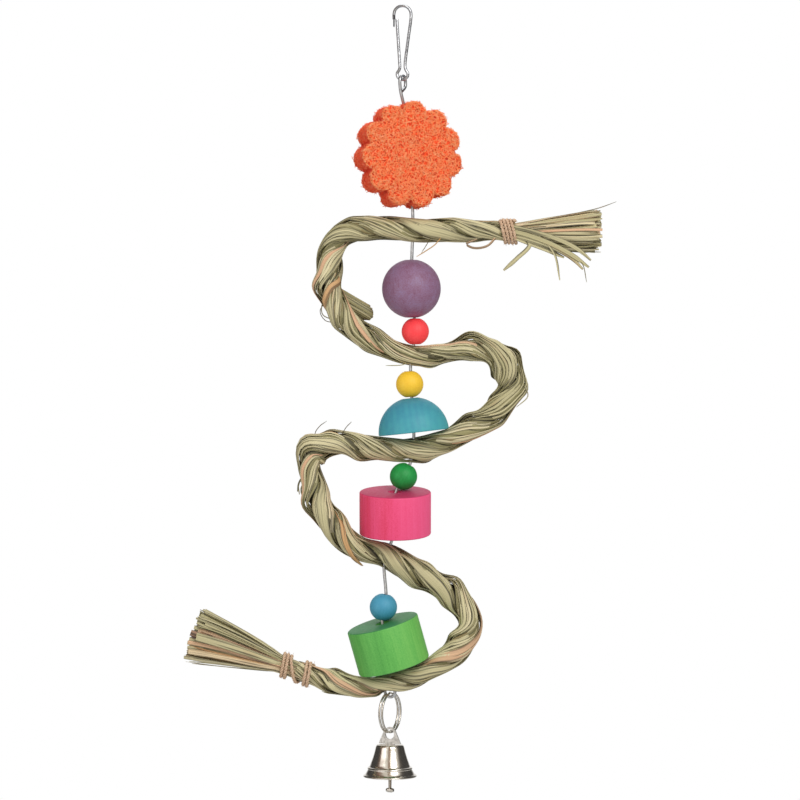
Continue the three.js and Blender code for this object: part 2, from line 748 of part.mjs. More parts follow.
function boredBlock(diameter, height, bore) {
  const [outer, inner, half] = [diameter / 2, bore / 2, height / 2];
  return turned([
    [inner, -half],
    [outer - blockEdge, -half],
    [outer - 0.3 * blockEdge, 0.3 * blockEdge - half],
    [outer, blockEdge - half],
    [outer, half - blockEdge],
    [outer - 0.3 * blockEdge, half - 0.3 * blockEdge],
    [outer - blockEdge, half],
    [inner, half],
    [inner, -half],
  ], 36);
}

// Half ball with its flat side down, at height 0
function boredHalfBall(diameter, height, bore) {
  const arcs = 9;
  const limit = Math.acos(bore / diameter);
  const profile = [[bore / 2, 0], [diameter / 2 - blockEdge, 0]];
  for (let i = 0; i <= arcs; i += 1) {
    const angle = THREE.MathUtils.lerp(degrees(3), limit, i / arcs);
    profile.push([(diameter / 2) * Math.cos(angle), height * Math.sin(angle)]);
  }
  profile.push(profile[0]);
  return turned(profile, 30);
}

function threaded(name, geometry, color, centre, lean, pitch = 0) {
  const mesh = addPiece(name, geometry, paintedWood(color));
  mesh.position.copy(centre);
  mesh.rotation.copy(leanTurn(lean, pitch));
}

// Bead that rests on the flat or bored top of the piece under it
function beadOn(topCentre, axis, halfHeight, shift = 0) {
  const isClear = (centre) => centre.clone().sub(topCentre).dot(axis) > halfHeight + touchGap;
  return seatOnWire(topCentre.z, isClear, shift);
}

const beadHalf = halfBored(beadDiameter, beadBore);
const ballHalf = halfBored(ballDiameter, ballBore);
const bead = boredBall(beadDiameter, beadBore, 18);

const redCentre = ballSeat(1, beadDiameter / 2);
threaded('red_bead', bead, '#f5383c', redCentre, 0);
const redTop = redCentre.clone().addScaledVector(up, beadHalf);
const ballCentre = beadOn(redTop, up, ballHalf);
threaded('purple_ball', boredBall(ballDiameter, ballBore, 24), '#7e6086', ballCentre, 0);

const halfBallAxis = leanAxis(halfBallLean);
const halfBallFoot = flatSeat(2, halfBallDiameter / 2, 0, halfBallHeight, halfBallAxis);
threaded(
  'blue_half_ball',
  boredHalfBall(halfBallDiameter, halfBallHeight, blockBore),
  '#3f93a8', halfBallFoot, halfBallLean,
);
const halfBallRim = halfBallHeight * Math.sqrt(1 - (blockBore / halfBallDiameter) ** 2);
const halfBallTop = halfBallFoot.clone().addScaledVector(halfBallAxis, halfBallRim);
const yellowCentre = beadOn(halfBallTop, halfBallAxis, beadHalf, yellowShift);
threaded('yellow_bead', bead, '#edbb35', yellowCentre, yellowLean);

const pinkBlock = boredBlock(pinkDiameter, pinkHeight, blockBore);
const pinkAxis = leanAxis(pinkLean, pinkPitch);
const pinkCentre = flatSeat(3, pinkDiameter / 2, pinkHeight / 2, pinkHeight / 2, pinkAxis, pinkShift);
threaded('pink_block', pinkBlock, '#e2487c', pinkCentre, pinkLean, pinkPitch);
const pinkTop = pinkCentre.clone().addScaledVector(pinkAxis, pinkHeight / 2);
const greenBeadCentre = beadOn(pinkTop, pinkAxis, beadDiameter / 2);
threaded('green_bead', bead, '#1f8a3a', greenBeadCentre, greenBeadLean);

const greenBlock = boredBlock(greenDiameter, greenHeight, blockBore);
const greenAxis = leanAxis(greenLean, greenPitch);
const greenCentre = flatSeat(4, greenDiameter / 2, greenHeight / 2, greenHeight / 2, greenAxis, greenShift);
threaded('green_block', greenBlock, '#4db04f', greenCentre, greenLean, greenPitch);
const greenTop = greenCentre.clone().addScaledVector(greenAxis, greenHeight / 2);
const blueCentre = beadOn(greenTop, greenAxis, beadDiameter / 2, blueShift);
threaded('blue_bead', bead, '#3b87a6', blueCentre, blueBeadLean);

// Split ring: two coils of one wire, with a crank between them
function splitRing() {
  const start = ringCrank / 2;
  const total = 720 - ringCrank;
  const steps = Math.round((total / 360) * loopSteps);
  const points = [];
  for (let step = 0; step <= steps; step += 1) {
    const swept = (total * step) / steps;
    const crank = THREE.MathUtils.smoothstep(swept, 360 - ringCrank, 360);
    const angle = degrees(start + swept);
    points.push(ringCentre.clone()
      .addScaledVector(ringAcross, ringRadius * Math.cos(angle))
      .addScaledVector(up, ringRadius * Math.sin(angle))
      .addScaledVector(ringNormal, coilPitch * (crank - 0.5)));
  }
  printLeastGap('split_ring', points, ringWire);
  return woundTube(points, ringWire);
}

addPiece('split_ring', splitRing(), steel);

// Bell group: its origin is the lug hole's centre, with its own X along the lug and Y through the hole
const bell = new THREE.Group();
bell.position.copy(ringFoot).addScaledVector(up, -coilOffset(lugHoleRadius, swingGap));
bell.rotation.z = degrees(ringTurn - 90);
toy.add(bell);
const crownZ = -lugDrop - touchGap;

function bellShell() {
  const outer = [
    [bellCrownRadius - shoulder, 0],
    [bellCrownRadius - 0.3 * shoulder, -0.3 * shoulder],
    [bellCrownRadius, -shoulder],
    [bellWaistRadius, -bellWaistDrop],
    [bellSkirtRadius, -bellSkirtDrop],
    [bellRidgeRadius, -(bellSkirtDrop + bellRidgeDrop) / 2],
    [bellRidgeRadius, -bellRidgeDrop],
    [(bellRidgeRadius + bellLipRadius) / 2, -0.6 * bellRidgeDrop - 0.4 * bellHeight],
    [bellLipRadius, -bellHeight + bellWall],
    [bellLipRadius - bellWall / 2, -bellHeight],
  ];
  const inner = outer.slice(0, -1).reverse().map(([radius, z]) => [radius - bellWall, z - bellWall / 2]);
  inner[0][1] = -bellHeight;
  inner.at(-1)[1] = -bellWall;
  const shell = turned([[0, 0], ...outer, ...inner, [0, -bellWall]], 32);
  const slot = new THREE.BoxGeometry(tabWidth + 2 * touchGap, lugThickness + 2 * touchGap, 8 * bellWall);
  return fromSolid(toSolid(shell).subtract(toSolid(slot)));
}

// Flat lug above the crown, with the tab that goes through it and carries the clapper
const tabHoleZ = crownZ - bellWall - tabLength + 2 * tabHoleRadius;

function bellHanger() {
  const plate = new THREE.Shape();
  const tabFoot = crownZ - bellWall - tabLength;
  const lean = Math.atan2(lugDrop, lugFoot / 2 - lugRadius);
  const flank = Math.PI / 2 - lean;
  plate.moveTo(-tabWidth / 2, tabFoot);
  plate.lineTo(tabWidth / 2, tabFoot);
  plate.lineTo(tabWidth / 2, -lugDrop);
  plate.lineTo(lugFoot / 2, -lugDrop);
  plate.absarc(0, 0, lugRadius, flank, Math.PI - flank, false);
  plate.lineTo(-lugFoot / 2, -lugDrop);
  plate.lineTo(-tabWidth / 2, -lugDrop);
  plate.closePath();
  const lugHole = new THREE.Path();
  lugHole.absarc(0, 0, lugHoleRadius, 0, 2 * Math.PI, true);
  const tabHole = new THREE.Path();
  tabHole.absarc(0, tabHoleZ, tabHoleRadius, 0, 2 * Math.PI, true);
  plate.holes.push(lugHole, tabHole);
  const hanger = new THREE.ExtrudeGeometry(plate, {
    depth: lugThickness,
    bevelEnabled: false,
    curveSegments: 10,
  });
  hanger.rotateX(Math.PI / 2);
  hanger.translate(0, lugThickness / 2, 0);
  return closedSurface(hanger);
}

// Clapper: wire doubled over the tab's hole, with a cross bead at its foot
function clapperPiece() {
  const archRadius = lugThickness / 2 + hangGap + clapperWire / 2;
  const footHalf = (clapperLegGap + clapperWire) / 2;
  const archZ = tabHoleZ - tabHoleRadius + hangGap + clapperWire / 2 - archRadius;
  const footZ = archZ - clapperLength;
  const points = [point(0, -footHalf, footZ), point(0, -archRadius, archZ - 2 * archRadius)];
  for (let angle = 180; angle >= 0; angle -= 30) {
    const y = archRadius * Math.cos(degrees(angle));
    points.push(point(0, y, archRadius * Math.sin(degrees(angle)) + archZ));
  }
  points.push(point(0, archRadius, archZ - 2 * archRadius), point(0, footHalf, footZ));
  const stem = woundTube(points, clapperWire, 8);
  const beadLimit = clapperBeadDiameter / 2;
  const half = clapperBeadLength / 2;
  const crossBead = turned([
    [0, -half],
    [0.7 * beadLimit, 0.15 * beadLimit - half],
    [beadLimit, beadLimit - half],
    [beadLimit, half - beadLimit],
    [0.7 * beadLimit, half - 0.15 * beadLimit],
    [0, half],
  ], 14);
  crossBead.rotateY(Math.PI / 2);
  crossBead.translate(0, 0, footZ);
  return fromSolid(toSolid(stem).add(toSolid(crossBead)));
}

const shellMesh = addPiece('bell_shell', bellShell(), plated, bell);
shellMesh.position.z = crownZ;
addPiece('bell_hanger', bellHanger(), plated, bell);
addPiece('clapper', clapperPiece(), steel, bell);

export default toy;
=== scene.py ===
"""Looks of the hanging bird toy: hook, loofah slice, looped grass rope, dyed wooden pieces and bell."""

import math
import random

import bmesh
import bpy
from mathutils import Euler, Matrix, Vector, noise


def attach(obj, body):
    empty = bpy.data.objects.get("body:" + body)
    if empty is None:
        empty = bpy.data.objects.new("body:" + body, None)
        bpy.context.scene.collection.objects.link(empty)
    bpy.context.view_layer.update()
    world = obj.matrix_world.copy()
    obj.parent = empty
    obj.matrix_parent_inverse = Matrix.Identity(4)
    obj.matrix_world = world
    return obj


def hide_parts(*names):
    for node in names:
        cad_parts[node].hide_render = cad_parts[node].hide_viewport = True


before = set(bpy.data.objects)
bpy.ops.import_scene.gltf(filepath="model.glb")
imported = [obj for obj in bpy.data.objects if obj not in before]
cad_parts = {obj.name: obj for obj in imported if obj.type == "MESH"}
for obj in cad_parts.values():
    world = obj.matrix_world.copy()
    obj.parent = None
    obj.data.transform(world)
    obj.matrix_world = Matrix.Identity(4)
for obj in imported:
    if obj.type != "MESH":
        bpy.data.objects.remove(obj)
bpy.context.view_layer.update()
scene = bpy.context.scene

# Values are millimetres, as in the part's source, and are scaled to metres where a mesh is finished
METRES = 0.001
WELD = 0.0004
SHARP_RIM = math.radians(25)
UP = Vector((0, 0, 1))

# Heights and x of the five places where the wire goes through the rope
PASS_Z = (-113.75, -177.55, -225.65, -278.45, -345.25)
PASS_X = (5.3, 4.5, 5.2, -8.3, -6.4)

# Rope route: bay, share of that bay's height, x and y
ROPE_ROUTE = (
    (0, 0.01, 54.3, 0), (0, 0, 31, 0), (0, 0, 5.3, 0), (0, -0.02, -13.5, 1), (0, 0.035, -31.5, 2),
    (0, 0.18, -37.5, 2), (0, 0.34, -38.2, 2), (0, 0.5, -36.6, 1), (0, 0.675, -31, 0), (0, 0.84, -20, 0),
    (1, 0, 4.5, 0), (1, -0.03, 21, 0), (1, -0.08, 37, 1), (1, -0.01, 48, 2), (1, 0.14, 54.5, 2),
    (1, 0.33, 56, 2), (1, 0.53, 51, 1), (1, 0.67, 43.5, 1), (1, 0.81, 31, 0), (1, 0.92, 20.5, 0),
    (2, 0, 5.2, 0), (2, -0.01, -11, 0), (2, -0.065, -33.5, -1), (2, 0.03, -46.5, -2), (2, 0.17, -47.5, -2),
    (2, 0.34, -45, -3), (2, 0.54, -42, -5), (2, 0.76, -34.6, -6), (2, 0.94, -23.4, -5), (3, 0.01, -9.4, 0),
    (3, 0.11, 1, 0), (3, 0.2, 13.5, 1), (3, 0.34, 26.5, 2), (3, 0.53, 34.5, 2), (3, 0.69, 31, 1),
    (3, 0.82, 20.4, 0), (3, 0.945, 7.2, 0), (3, 1, -6.4, 0), (3, 1.02, -19, 0), (3, 0.995, -34, 0),
    (3, 0.945, -44.5, 0), (3, 0.89, -54.3, 0),
)

# Spine wire between the passes: share of the bay's height and x, for each bay
WIRE_ROUTE = (
    ((0.15, 4.9), (0.5, 4.6), (0.83, 6.5)),
    ((0.14, 4.1), (0.5, 4.9), (0.85, 5.8)),
    ((0.11, 4.3), (0.19, 2.7), (0.275, 0), (0.4, -3.2), (0.83, -5), (0.925, -6.3)),
    ((0.09, -9.4), (0.34, -8.4), (0.53, -10.2), (0.85, -5.9)),
)

# Wire sizes and the places that hang on them
HOOK_WIRE = 1.5
SPINE_WIRE = 1.6
RING_WIRE = 1.1
RING_RADIUS = 10
RING_PITCH = 1.6
RING_TURN = math.radians(62)
RING_TOP = Vector((-6.4, 0, -349.65))
RING_ACROSS = Vector((math.cos(RING_TURN), math.sin(RING_TURN), 0))
RING_NORMAL = RING_ACROSS.cross(UP)
BELL_PLACE = Matrix.Translation((-6.4, 0, -370.74)) @ Matrix.Rotation(RING_TURN - math.pi / 2, 4, "Z")
BELL_CROWN = -5.1

# Loofah slice
LOOFAH_CENTRE = Vector((2.8, 0, -75.65))
LOOFAH_RADIUS = 27
LOOFAH_THICKNESS = 15
LOOFAH_LEAN = math.radians(-4.8)
LOOFAH_TURN = math.radians(20)
LOBES = 11
LOBE_RADIUS = 6.1
LOBE_PHASE = math.radians(82)


# Shader nodes

def paint(code):
    """Linear colour of an sRGB hex value."""
    parts = [int(code[i:i + 2], 16) / 255 for i in (1, 3, 5)]
    linear = [p / 12.92 if p <= 0.04045 else ((p + 0.055) / 1.055) ** 2.4 for p in parts]
    return (*linear, 1.0)


def feed(tree, node, sockets):
    """Sets a node's inputs, or links them to a socket or to another node's first output."""
    for name, value in sockets.items():
        source = value.outputs[0] if isinstance(value, bpy.types.Node) else value
        if isinstance(source, bpy.types.NodeSocket):
            tree.links.new(source, node.inputs[name])
        else:
            node.inputs[name].default_value = source


def add_node(tree, kind, settings=None, sockets=None):
    """Adds a shader node with its settings and inputs. The setting "stops" fills a colour ramp."""
    made = tree.nodes.new(f"ShaderNode{kind}")
    for name, value in (settings or {}).items():
        if name != "stops":
            setattr(made, name, value)
            continue
        ramp = made.color_ramp
        ramp.elements[0].position = value[0][0]
        ramp.elements[-1].position = value[-1][0]
        for place, shade in value[1:-1]:
            ramp.elements.new(place)
        for element, (place, shade) in zip(ramp.elements, value):
            element.color = paint(shade)
    feed(tree, made, sockets or {})
    return made


def new_material(name):
    """A material, its node tree and its shader."""
    material = bpy.data.materials.new(name)
    material.use_nodes = True
    return material, material.node_tree, material.node_tree.nodes["Principled BSDF"]


# Camera, floor and light

def set_stage():
    """Camera at the photograph's angle, a pale floor far below the toy, and soft lamps, all in metres."""
    frame_width, distance = 0.408, 1.5
    middle_x, middle_z = -0.001275, -0.2003
    camera = bpy.data.objects.new("camera", bpy.data.cameras.new("camera"))
    camera.data.sensor_width = 36
    camera.data.lens = camera.data.sensor_width * distance / frame_width
    camera.location = (middle_x, -distance, middle_z)
    camera.rotation_euler = (math.radians(90), 0, 0)
    scene.collection.objects.link(camera)
    bpy.context.scene.camera = camera
    scene.view_settings.view_transform = "Standard"

    floor_radius, floor_z = 4, -1.6
    bm = bmesh.new()
    bmesh.ops.create_circle(bm, cap_ends=True, segments=64, radius=floor_radius)
    bmesh.ops.translate(bm, verts=bm.verts, vec=(0, 0, floor_z))
    mesh = bpy.data.meshes.new("floor")
    bm.to_mesh(mesh)
    bm.free()
    floor = bpy.data.objects.new("floor", mesh)
    paper, tree, shader = new_material("white_paper_floor")
    feed(tree, shader, {"Base Color": paint("#f4f4f2"), "Roughness": 0.8})
    mesh.materials.append(paper)
    scene.collection.objects.link(floor)

    target = Vector((0, 0, -0.2))
    for name, place, size, power in (
        ("key_lamp", (0.5, -1.05, 0.45), 0.7, 8.6),
        ("fill_lamp", (-0.9, -0.8, -0.1), 0.8, 2.3),
        ("top_lamp", (0.1, 0.35, 0.9), 0.7, 4.0),
    ):
        lamp = bpy.data.lights.new(name, "AREA")
        lamp.size = size
        lamp.energy = power
        holder = bpy.data.objects.new(name, lamp)
        holder.location = place
        holder.rotation_euler = (target - holder.location).to_track_quat("-Z", "Y").to_euler()
        scene.collection.objects.link(holder)


def set_world():
    """White to the camera; to metal, a white room with dark side walls; elsewhere a plain soft fill."""
    world = bpy.data.worlds.new("studio")
    world.use_nodes = True
    scene.world = world
    tree = world.node_tree
    rays = add_node(tree, "LightPath").outputs
    way = add_node(tree, "TexCoord").outputs["Generated"]
    parts = add_node(tree, "SeparateXYZ", None, {"Vector": way}).outputs
    towards = add_node(tree, "Math", {"operation": "MULTIPLY"}, {0: parts["Y"], 1: -1.0})
    bearing = add_node(tree, "Math", {"operation": "ARCTAN2"}, {0: parts["X"], 1: towards})
    side = add_node(tree, "MapRange", None, {"Value": bearing, "From Min": -math.pi, "From Max": math.pi})
    room = add_node(tree, "ValToRGB", {"stops": (
        (0.0, "#ffffff"), (0.05, "#ffffff"), (0.09, "#484746"), (0.26, "#484746"), (0.31, "#8a6e5c"),
        (0.36, "#a8948a"), (0.39, "#f6f2ea"), (0.45, "#f6f2ea"), (0.475, "#8a6c52"), (0.5, "#a58a70"),
        (0.525, "#d8d2c6"), (0.64, "#e6e2da"), (0.69, "#5a544e"), (0.74, "#484746"), (0.91, "#484746"),
        (0.95, "#ffffff"), (1.0, "#ffffff"),
    )}, {"Fac": side})
    shown = add_node(tree, "Math", {"operation": "MAXIMUM"}, {
        0: rays["Is Camera Ray"],
        1: rays["Is Transmission Ray"],
    })
    bright = add_node(tree, "Math", {"operation": "MAXIMUM"}, {0: shown, 1: rays["Is Glossy Ray"]})
    strength = add_node(tree, "MapRange", None, {"Value": bright, "To Min": 0.62, "To Max": 1.0})
    colour = add_node(tree, "Mix", {"data_type": "RGBA"}, {
        0: rays["Is Glossy Ray"],
        6: paint("#ffffff"),
        7: room,
    })
    feed(tree, tree.nodes["Background"], {"Color": colour.outputs[2], "Strength": strength})


set_stage()
set_world()


# Making and keeping pieces

def keep(obj, body, slot, *nodes):
    """Puts a finished piece in the scene, on its body and in place of its solids."""
    scene.collection.objects.link(obj)
    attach(obj, body)
    if nodes:
        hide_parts(*nodes)


def mesh_object(name, bm, material, place=None, crease=40):
    """Welds, turns outwards and places a mesh."""
    bmesh.ops.remove_doubles(bm, verts=bm.verts, dist=WELD)
    bmesh.ops.recalc_face_normals(bm, faces=bm.faces)
    bmesh.ops.transform(bm, matrix=Matrix.Scale(METRES, 4) @ (place or Matrix()), verts=bm.verts)
    mesh = bpy.data.meshes.new(name)
    bm.to_mesh(mesh)
    bm.free()
    mesh.materials.append(material)
    mesh.shade_smooth()
    mesh.set_sharp_from_angle(angle=math.radians(crease))
    return bpy.data.objects.new(name, mesh)


def wire_object(name, routes, diameter, material, roundness=6):
    """Round wires along lists of points."""
    curve = bpy.data.curves.new(name, "CURVE")
    curve.dimensions = "3D"
    curve.bevel_depth = diameter / 2 * METRES
    curve.bevel_resolution = roundness
    curve.use_fill_caps = True
    for route in routes:
        spline = curve.splines.new("POLY")
        spline.points.add(len(route) - 1)
        for corner, at in zip(spline.points, route):
            corner.co = (*(at * METRES), 1)
    curve.materials.append(material)
    return bpy.data.objects.new(name, curve)


def in_bay(bay, share):
    """Height at a share of the way from one pass to the next."""
    return PASS_Z[bay] + share * (PASS_Z[bay + 1] - PASS_Z[bay])


def smooth_route(points, steps=14):
    """Centripetal curve through the points, as the part's source draws it."""
    ends = [2 * points[0] - points[1], *points, 2 * points[-1] - points[-2]]
    route = []
    for before, start, end, after in zip(ends, ends[1:], ends[2:], ends[3:]):
        gaps = ((before, start), (start, end), (end, after))
        first, middle, last = [math.sqrt((b - a).length) for a, b in gaps]
        leave = (start - before) / first - (end - before) / (first + middle) + (end - start) / middle
        arrive = (end - start) / middle - (after - start) / (middle + last) + (after - end) / last
        leave, arrive = leave * middle, arrive * middle
        for step in range(steps):
            t = step / steps
            route.append(
                start * (2 * t ** 3 - 3 * t ** 2 + 1)
                + leave * (t ** 3 - 2 * t ** 2 + t)
                + end * (3 * t ** 2 - 2 * t ** 3)
                + arrive * (t ** 3 - t ** 2)
            )
    return [*route, points[-1].copy()]


def lengths_along(route):
    """Length of a route from its start to each of its points."""
    lengths = [0]
    for a, b in zip(route, route[1:]):
        lengths.append(lengths[-1] + (b - a).length)
    return lengths


def evenly(route, spacing):
    """The same route with evenly spaced points."""
    lengths = lengths_along(route)
    count = max(2, round(lengths[-1] / spacing))
    spaced = []
    span = 0
    for step in range(count + 1):
        along = lengths[-1] * step / count
        while span < len(route) - 2 and lengths[span + 1] < along:
            span += 1
        share = (along - lengths[span]) / (lengths[span + 1] - lengths[span])
        spaced.append(route[span].lerp(route[span + 1], share))
    return spaced


def heading(route, step):
    """Way that a route goes at one of its points, not of unit length."""
    return route[min(step + 1, len(route) - 1)] - route[max(step - 1, 0)]


def swung(first, second, angle):
    """Way at an angle from the first one towards the second."""
    return first * math.cos(angle) + second * math.sin(angle)


def eased(value, low, high):
    """Share from 0 at low to 1 at high, smooth at both."""
    share = min(1, max(0, (value - low) / (high - low)))
    return share * share * (3 - 2 * share)


def any_way(dice):
    """A random way, not of unit length."""
    return Vector((dice.gauss(0, 1), dice.gauss(0, 1), dice.gauss(0, 1)))


def turned(profile, steps, ease=0.0, open_profile=False):
    """A profile of radius and height turned once about its axis, with its sharp rims eased."""
    bm = bmesh.new()
    corners = [bm.verts.new((radius, 0, height)) for radius, height in profile]
    pairs = list(zip(corners, corners[1:]))
    if not open_profile:
        pairs.append((corners[-1], corners[0]))
    edges = [bm.edges.new(pair) for pair in pairs]
    bmesh.ops.spin(
        bm, geom=[*corners, *edges], cent=(0, 0, 0), axis=UP, dvec=(0, 0, 0),
        angle=2 * math.pi, steps=steps, use_merge=True, use_duplicate=False,
    )
    bmesh.ops.remove_doubles(bm, verts=bm.verts, dist=WELD)
    bmesh.ops.recalc_face_normals(bm, faces=bm.faces)
    if ease:
        rims = [edge for edge in bm.edges if edge.calc_face_angle(0) > SHARP_RIM]
        bmesh.ops.bevel(
            bm, geom=rims, offset=ease, segments=4, affect="EDGES", profile=0.5, material=-1,
        )
    return bm


def rolled(bm, rows, sides, place, values=None):
    """A grid rolled into a tube: place gives each corner's point from its row and side."""
    grid = bmesh.ops.create_grid(bm, x_segments=sides, y_segments=rows, size=0.5)
    for vert in grid["verts"]:
        side = round((vert.co.x + 0.5) * sides) % sides
        row = round((vert.co.y + 0.5) * rows)
        vert.co = place(row, side)
        for layer, value in (values(row, side) if values else {}).items():
            vert[layer] = value


# Section of a leaf: place across its width from -1 to 1, which face, and how near the edge
LEAF_SECTION = (
    (-1, 0, 1), (-0.7, 1, 0.4), (0, 1, 0), (0.7, 1, 0.4),
    (1, 0, 1), (0.7, -1, 0.4), (0, -1, 0), (-0.7, -1, 0.4),
)
LEAF_LAYERS = ("tone", "along", "across", "edge")
LEAF_THICKNESS = 0.34


class LeafBundle:
    """A mesh of flat dried leaves, each with its own tone and its measures along and across."""

    def __init__(self):
        self.bm = bmesh.new()
        layers = self.bm.verts.layers.float
        self.tone, self.along, self.across, self.edge = [layers.new(name) for name in LEAF_LAYERS]

    def add(self, middle, out, widths, thickness, tone, cup=0.0, valley_shade=None):
        """One leaf along its middle points, facing out, cupped, and with any stretches of painted shade."""
        rows = len(middle) - 1
        lengths = lengths_along(middle)
        wide = [way.cross(heading(middle, row)).normalized() for row, way in enumerate(out)]

        def place(row, side):
            share, face, edge = LEAF_SECTION[side]
            half = widths[row] / 2
            thick = 0 if row in (0, rows) else face * thickness / 2
            lift = thick - cup * (share * half) ** 2
            return middle[row] + wide[row] * (share * half) + out[row] * lift

        def values(row, side):
            share, face, edge = LEAF_SECTION[side]
            across = share * widths[row] / 2
            # The darkening value: the leaf's own edges, and its painted valley shade
            dark = max(edge, valley_shade[row]) if valley_shade else edge
            return {self.tone: tone, self.along: lengths[row], self.across: across, self.edge: dark}

        rolled(self.bm, rows, len(LEAF_SECTION), place, values)

    def object(self, name, material):
        """The finished mesh as an object."""
        return mesh_object(name, self.bm, material, crease=50)


# Materials

def drawn_metal(name, shade, worn, roughness, grain):
    """Drawn or pressed metal: mostly even, with dull blotches left by drawing and handling."""
    material, tree, shader = new_material(name)
    blotch = add_node(tree, "TexNoise", None, {
        "Vector": add_node(tree, "TexCoord").outputs["Object"],
        "Scale": 1 / (grain * METRES),
        "Detail": 4.0,
    })
    tint = add_node(tree, "ValToRGB", {"stops": ((0.3, worn), (0.62, shade))}, {"Fac": blotch})
    gloss = add_node(tree, "MapRange", None, {
        "Value": blotch,
        "From Min": 0.3,
        "From Max": 0.7,
        "To Min": roughness * 1.35,
        "To Max": roughness * 0.8,
    })
    feed(tree, shader, {"Base Color": tint, "Metallic": 1.0, "Roughness": gloss})
    return material


def stained_wood(name, centre, turn, shades, layers, fade, heart, height, end_dye_and_shade):
    """Turned hardwood soaked in water dye: satin and nearly even, with faint pores, streaks and rings.

    A piece with a height has flat ends, where the cut grain takes up more dye, and which are also painted
    darker as shade. A fade across the piece is partly the dye's own drift and partly painted shade that
    darkens one side.
    """
    material, tree, shader = new_material(name)
    grain = add_node(tree, "Mapping", {"vector_type": "TEXTURE"}, {
        "Vector": add_node(tree, "TexCoord").outputs["Object"],
        "Location": centre * METRES,
        "Rotation": Euler(turn),
    })
    drawn_out = add_node(tree, "Mapping", None, {"Vector": grain, "Scale": (1.0, 1.0, 0.05)})
    # Real pores are under 0.1 mm, too fine to show, so they are drawn as specks of 0.6 mm
    found = {}
    for layer, space, size in (
        ("pores", grain, 0.6), ("soak", grain, 5.0), ("streaks", drawn_out, 1.1), ("bands", drawn_out, 8.0),
    ):
        found[layer] = add_node(tree, "TexNoise", None, {
            "Vector": space,
            "Scale": 1 / (size * METRES),
            "Detail": 3.0,
        })
    ring_width = 3.2
    from_pith = add_node(tree, "Mapping", None, {"Vector": grain, "Location": Vector(heart) * METRES})
    rings = add_node(tree, "TexWave", {"wave_type": "RINGS", "rings_direction": "Z"}, {
        "Vector": from_pith,
        "Scale": math.pi / 10 / (ring_width * METRES),
        "Distortion": 2.2,
        "Detail": 2.0,
        "Detail Scale": 0.6,
    })
    found["rings"] = rings.outputs["Fac"]
    # Fade tints the piece across: partly the dye's own drift, partly painted shade that darkens one side
    dye_drift_and_side_shade = add_node(tree, "VectorMath", {"operation": "DOT_PRODUCT"}, {0: grain, 1: Vector(fade) / METRES})
    level = dye_drift_and_side_shade.outputs["Value"]
    for layer, part in layers.items():
        centred = add_node(tree, "Math", {"operation": "SUBTRACT"}, {0: found[layer], 1: 0.5})
        level = add_node(tree, "Math", {"operation": "MULTIPLY_ADD"}, {0: centred, 1: part, 2: level})
    raised = add_node(tree, "Math", {"operation": "ADD"}, {0: level, 1: 0.5})
    dye_stops = tuple(zip((0.0, 0.5, 1.0), shades))
    dyed = add_node(tree, "ValToRGB", {"stops": dye_stops}, {"Fac": raised}).outputs["Color"]
    # The flat ends take up more dye and are also painted darker as shade
    if height:
        parts = add_node(tree, "SeparateXYZ", None, {"Vector": grain})
        upward = add_node(tree, "Math", {"operation": "ABSOLUTE"}, {0: parts.outputs["Z"]})
        end_dye_and_shade_share = add_node(tree, "MapRange", None, {
            "Value": upward,
            "From Min": (height / 2 - 0.4) * METRES,
            "From Max": (height / 2 - 0.1) * METRES,
            "To Max": 0.8,
        })
        soaked = add_node(tree, "Mix", {"data_type": "RGBA"}, {0: end_dye_and_shade_share, 6: dyed, 7: paint(end_dye_and_shade)})
        dyed = soaked.outputs[2]
    gloss = add_node(tree, "MapRange", None, {
        "Value": found["streaks"],
        "From Min": 0.3,
        "From Max": 0.7,
        "To Min": 0.6,
        "To Max": 0.48,
    })
    relief = add_node(tree, "Bump", None, {
        "Height": found["pores"],
        "Strength": 0.12,
        "Distance": 0.2 * METRES,
    })
    feed(tree, shader, {"Base Color": dyed, "Roughness": gloss, "Normal": relief})
    return material


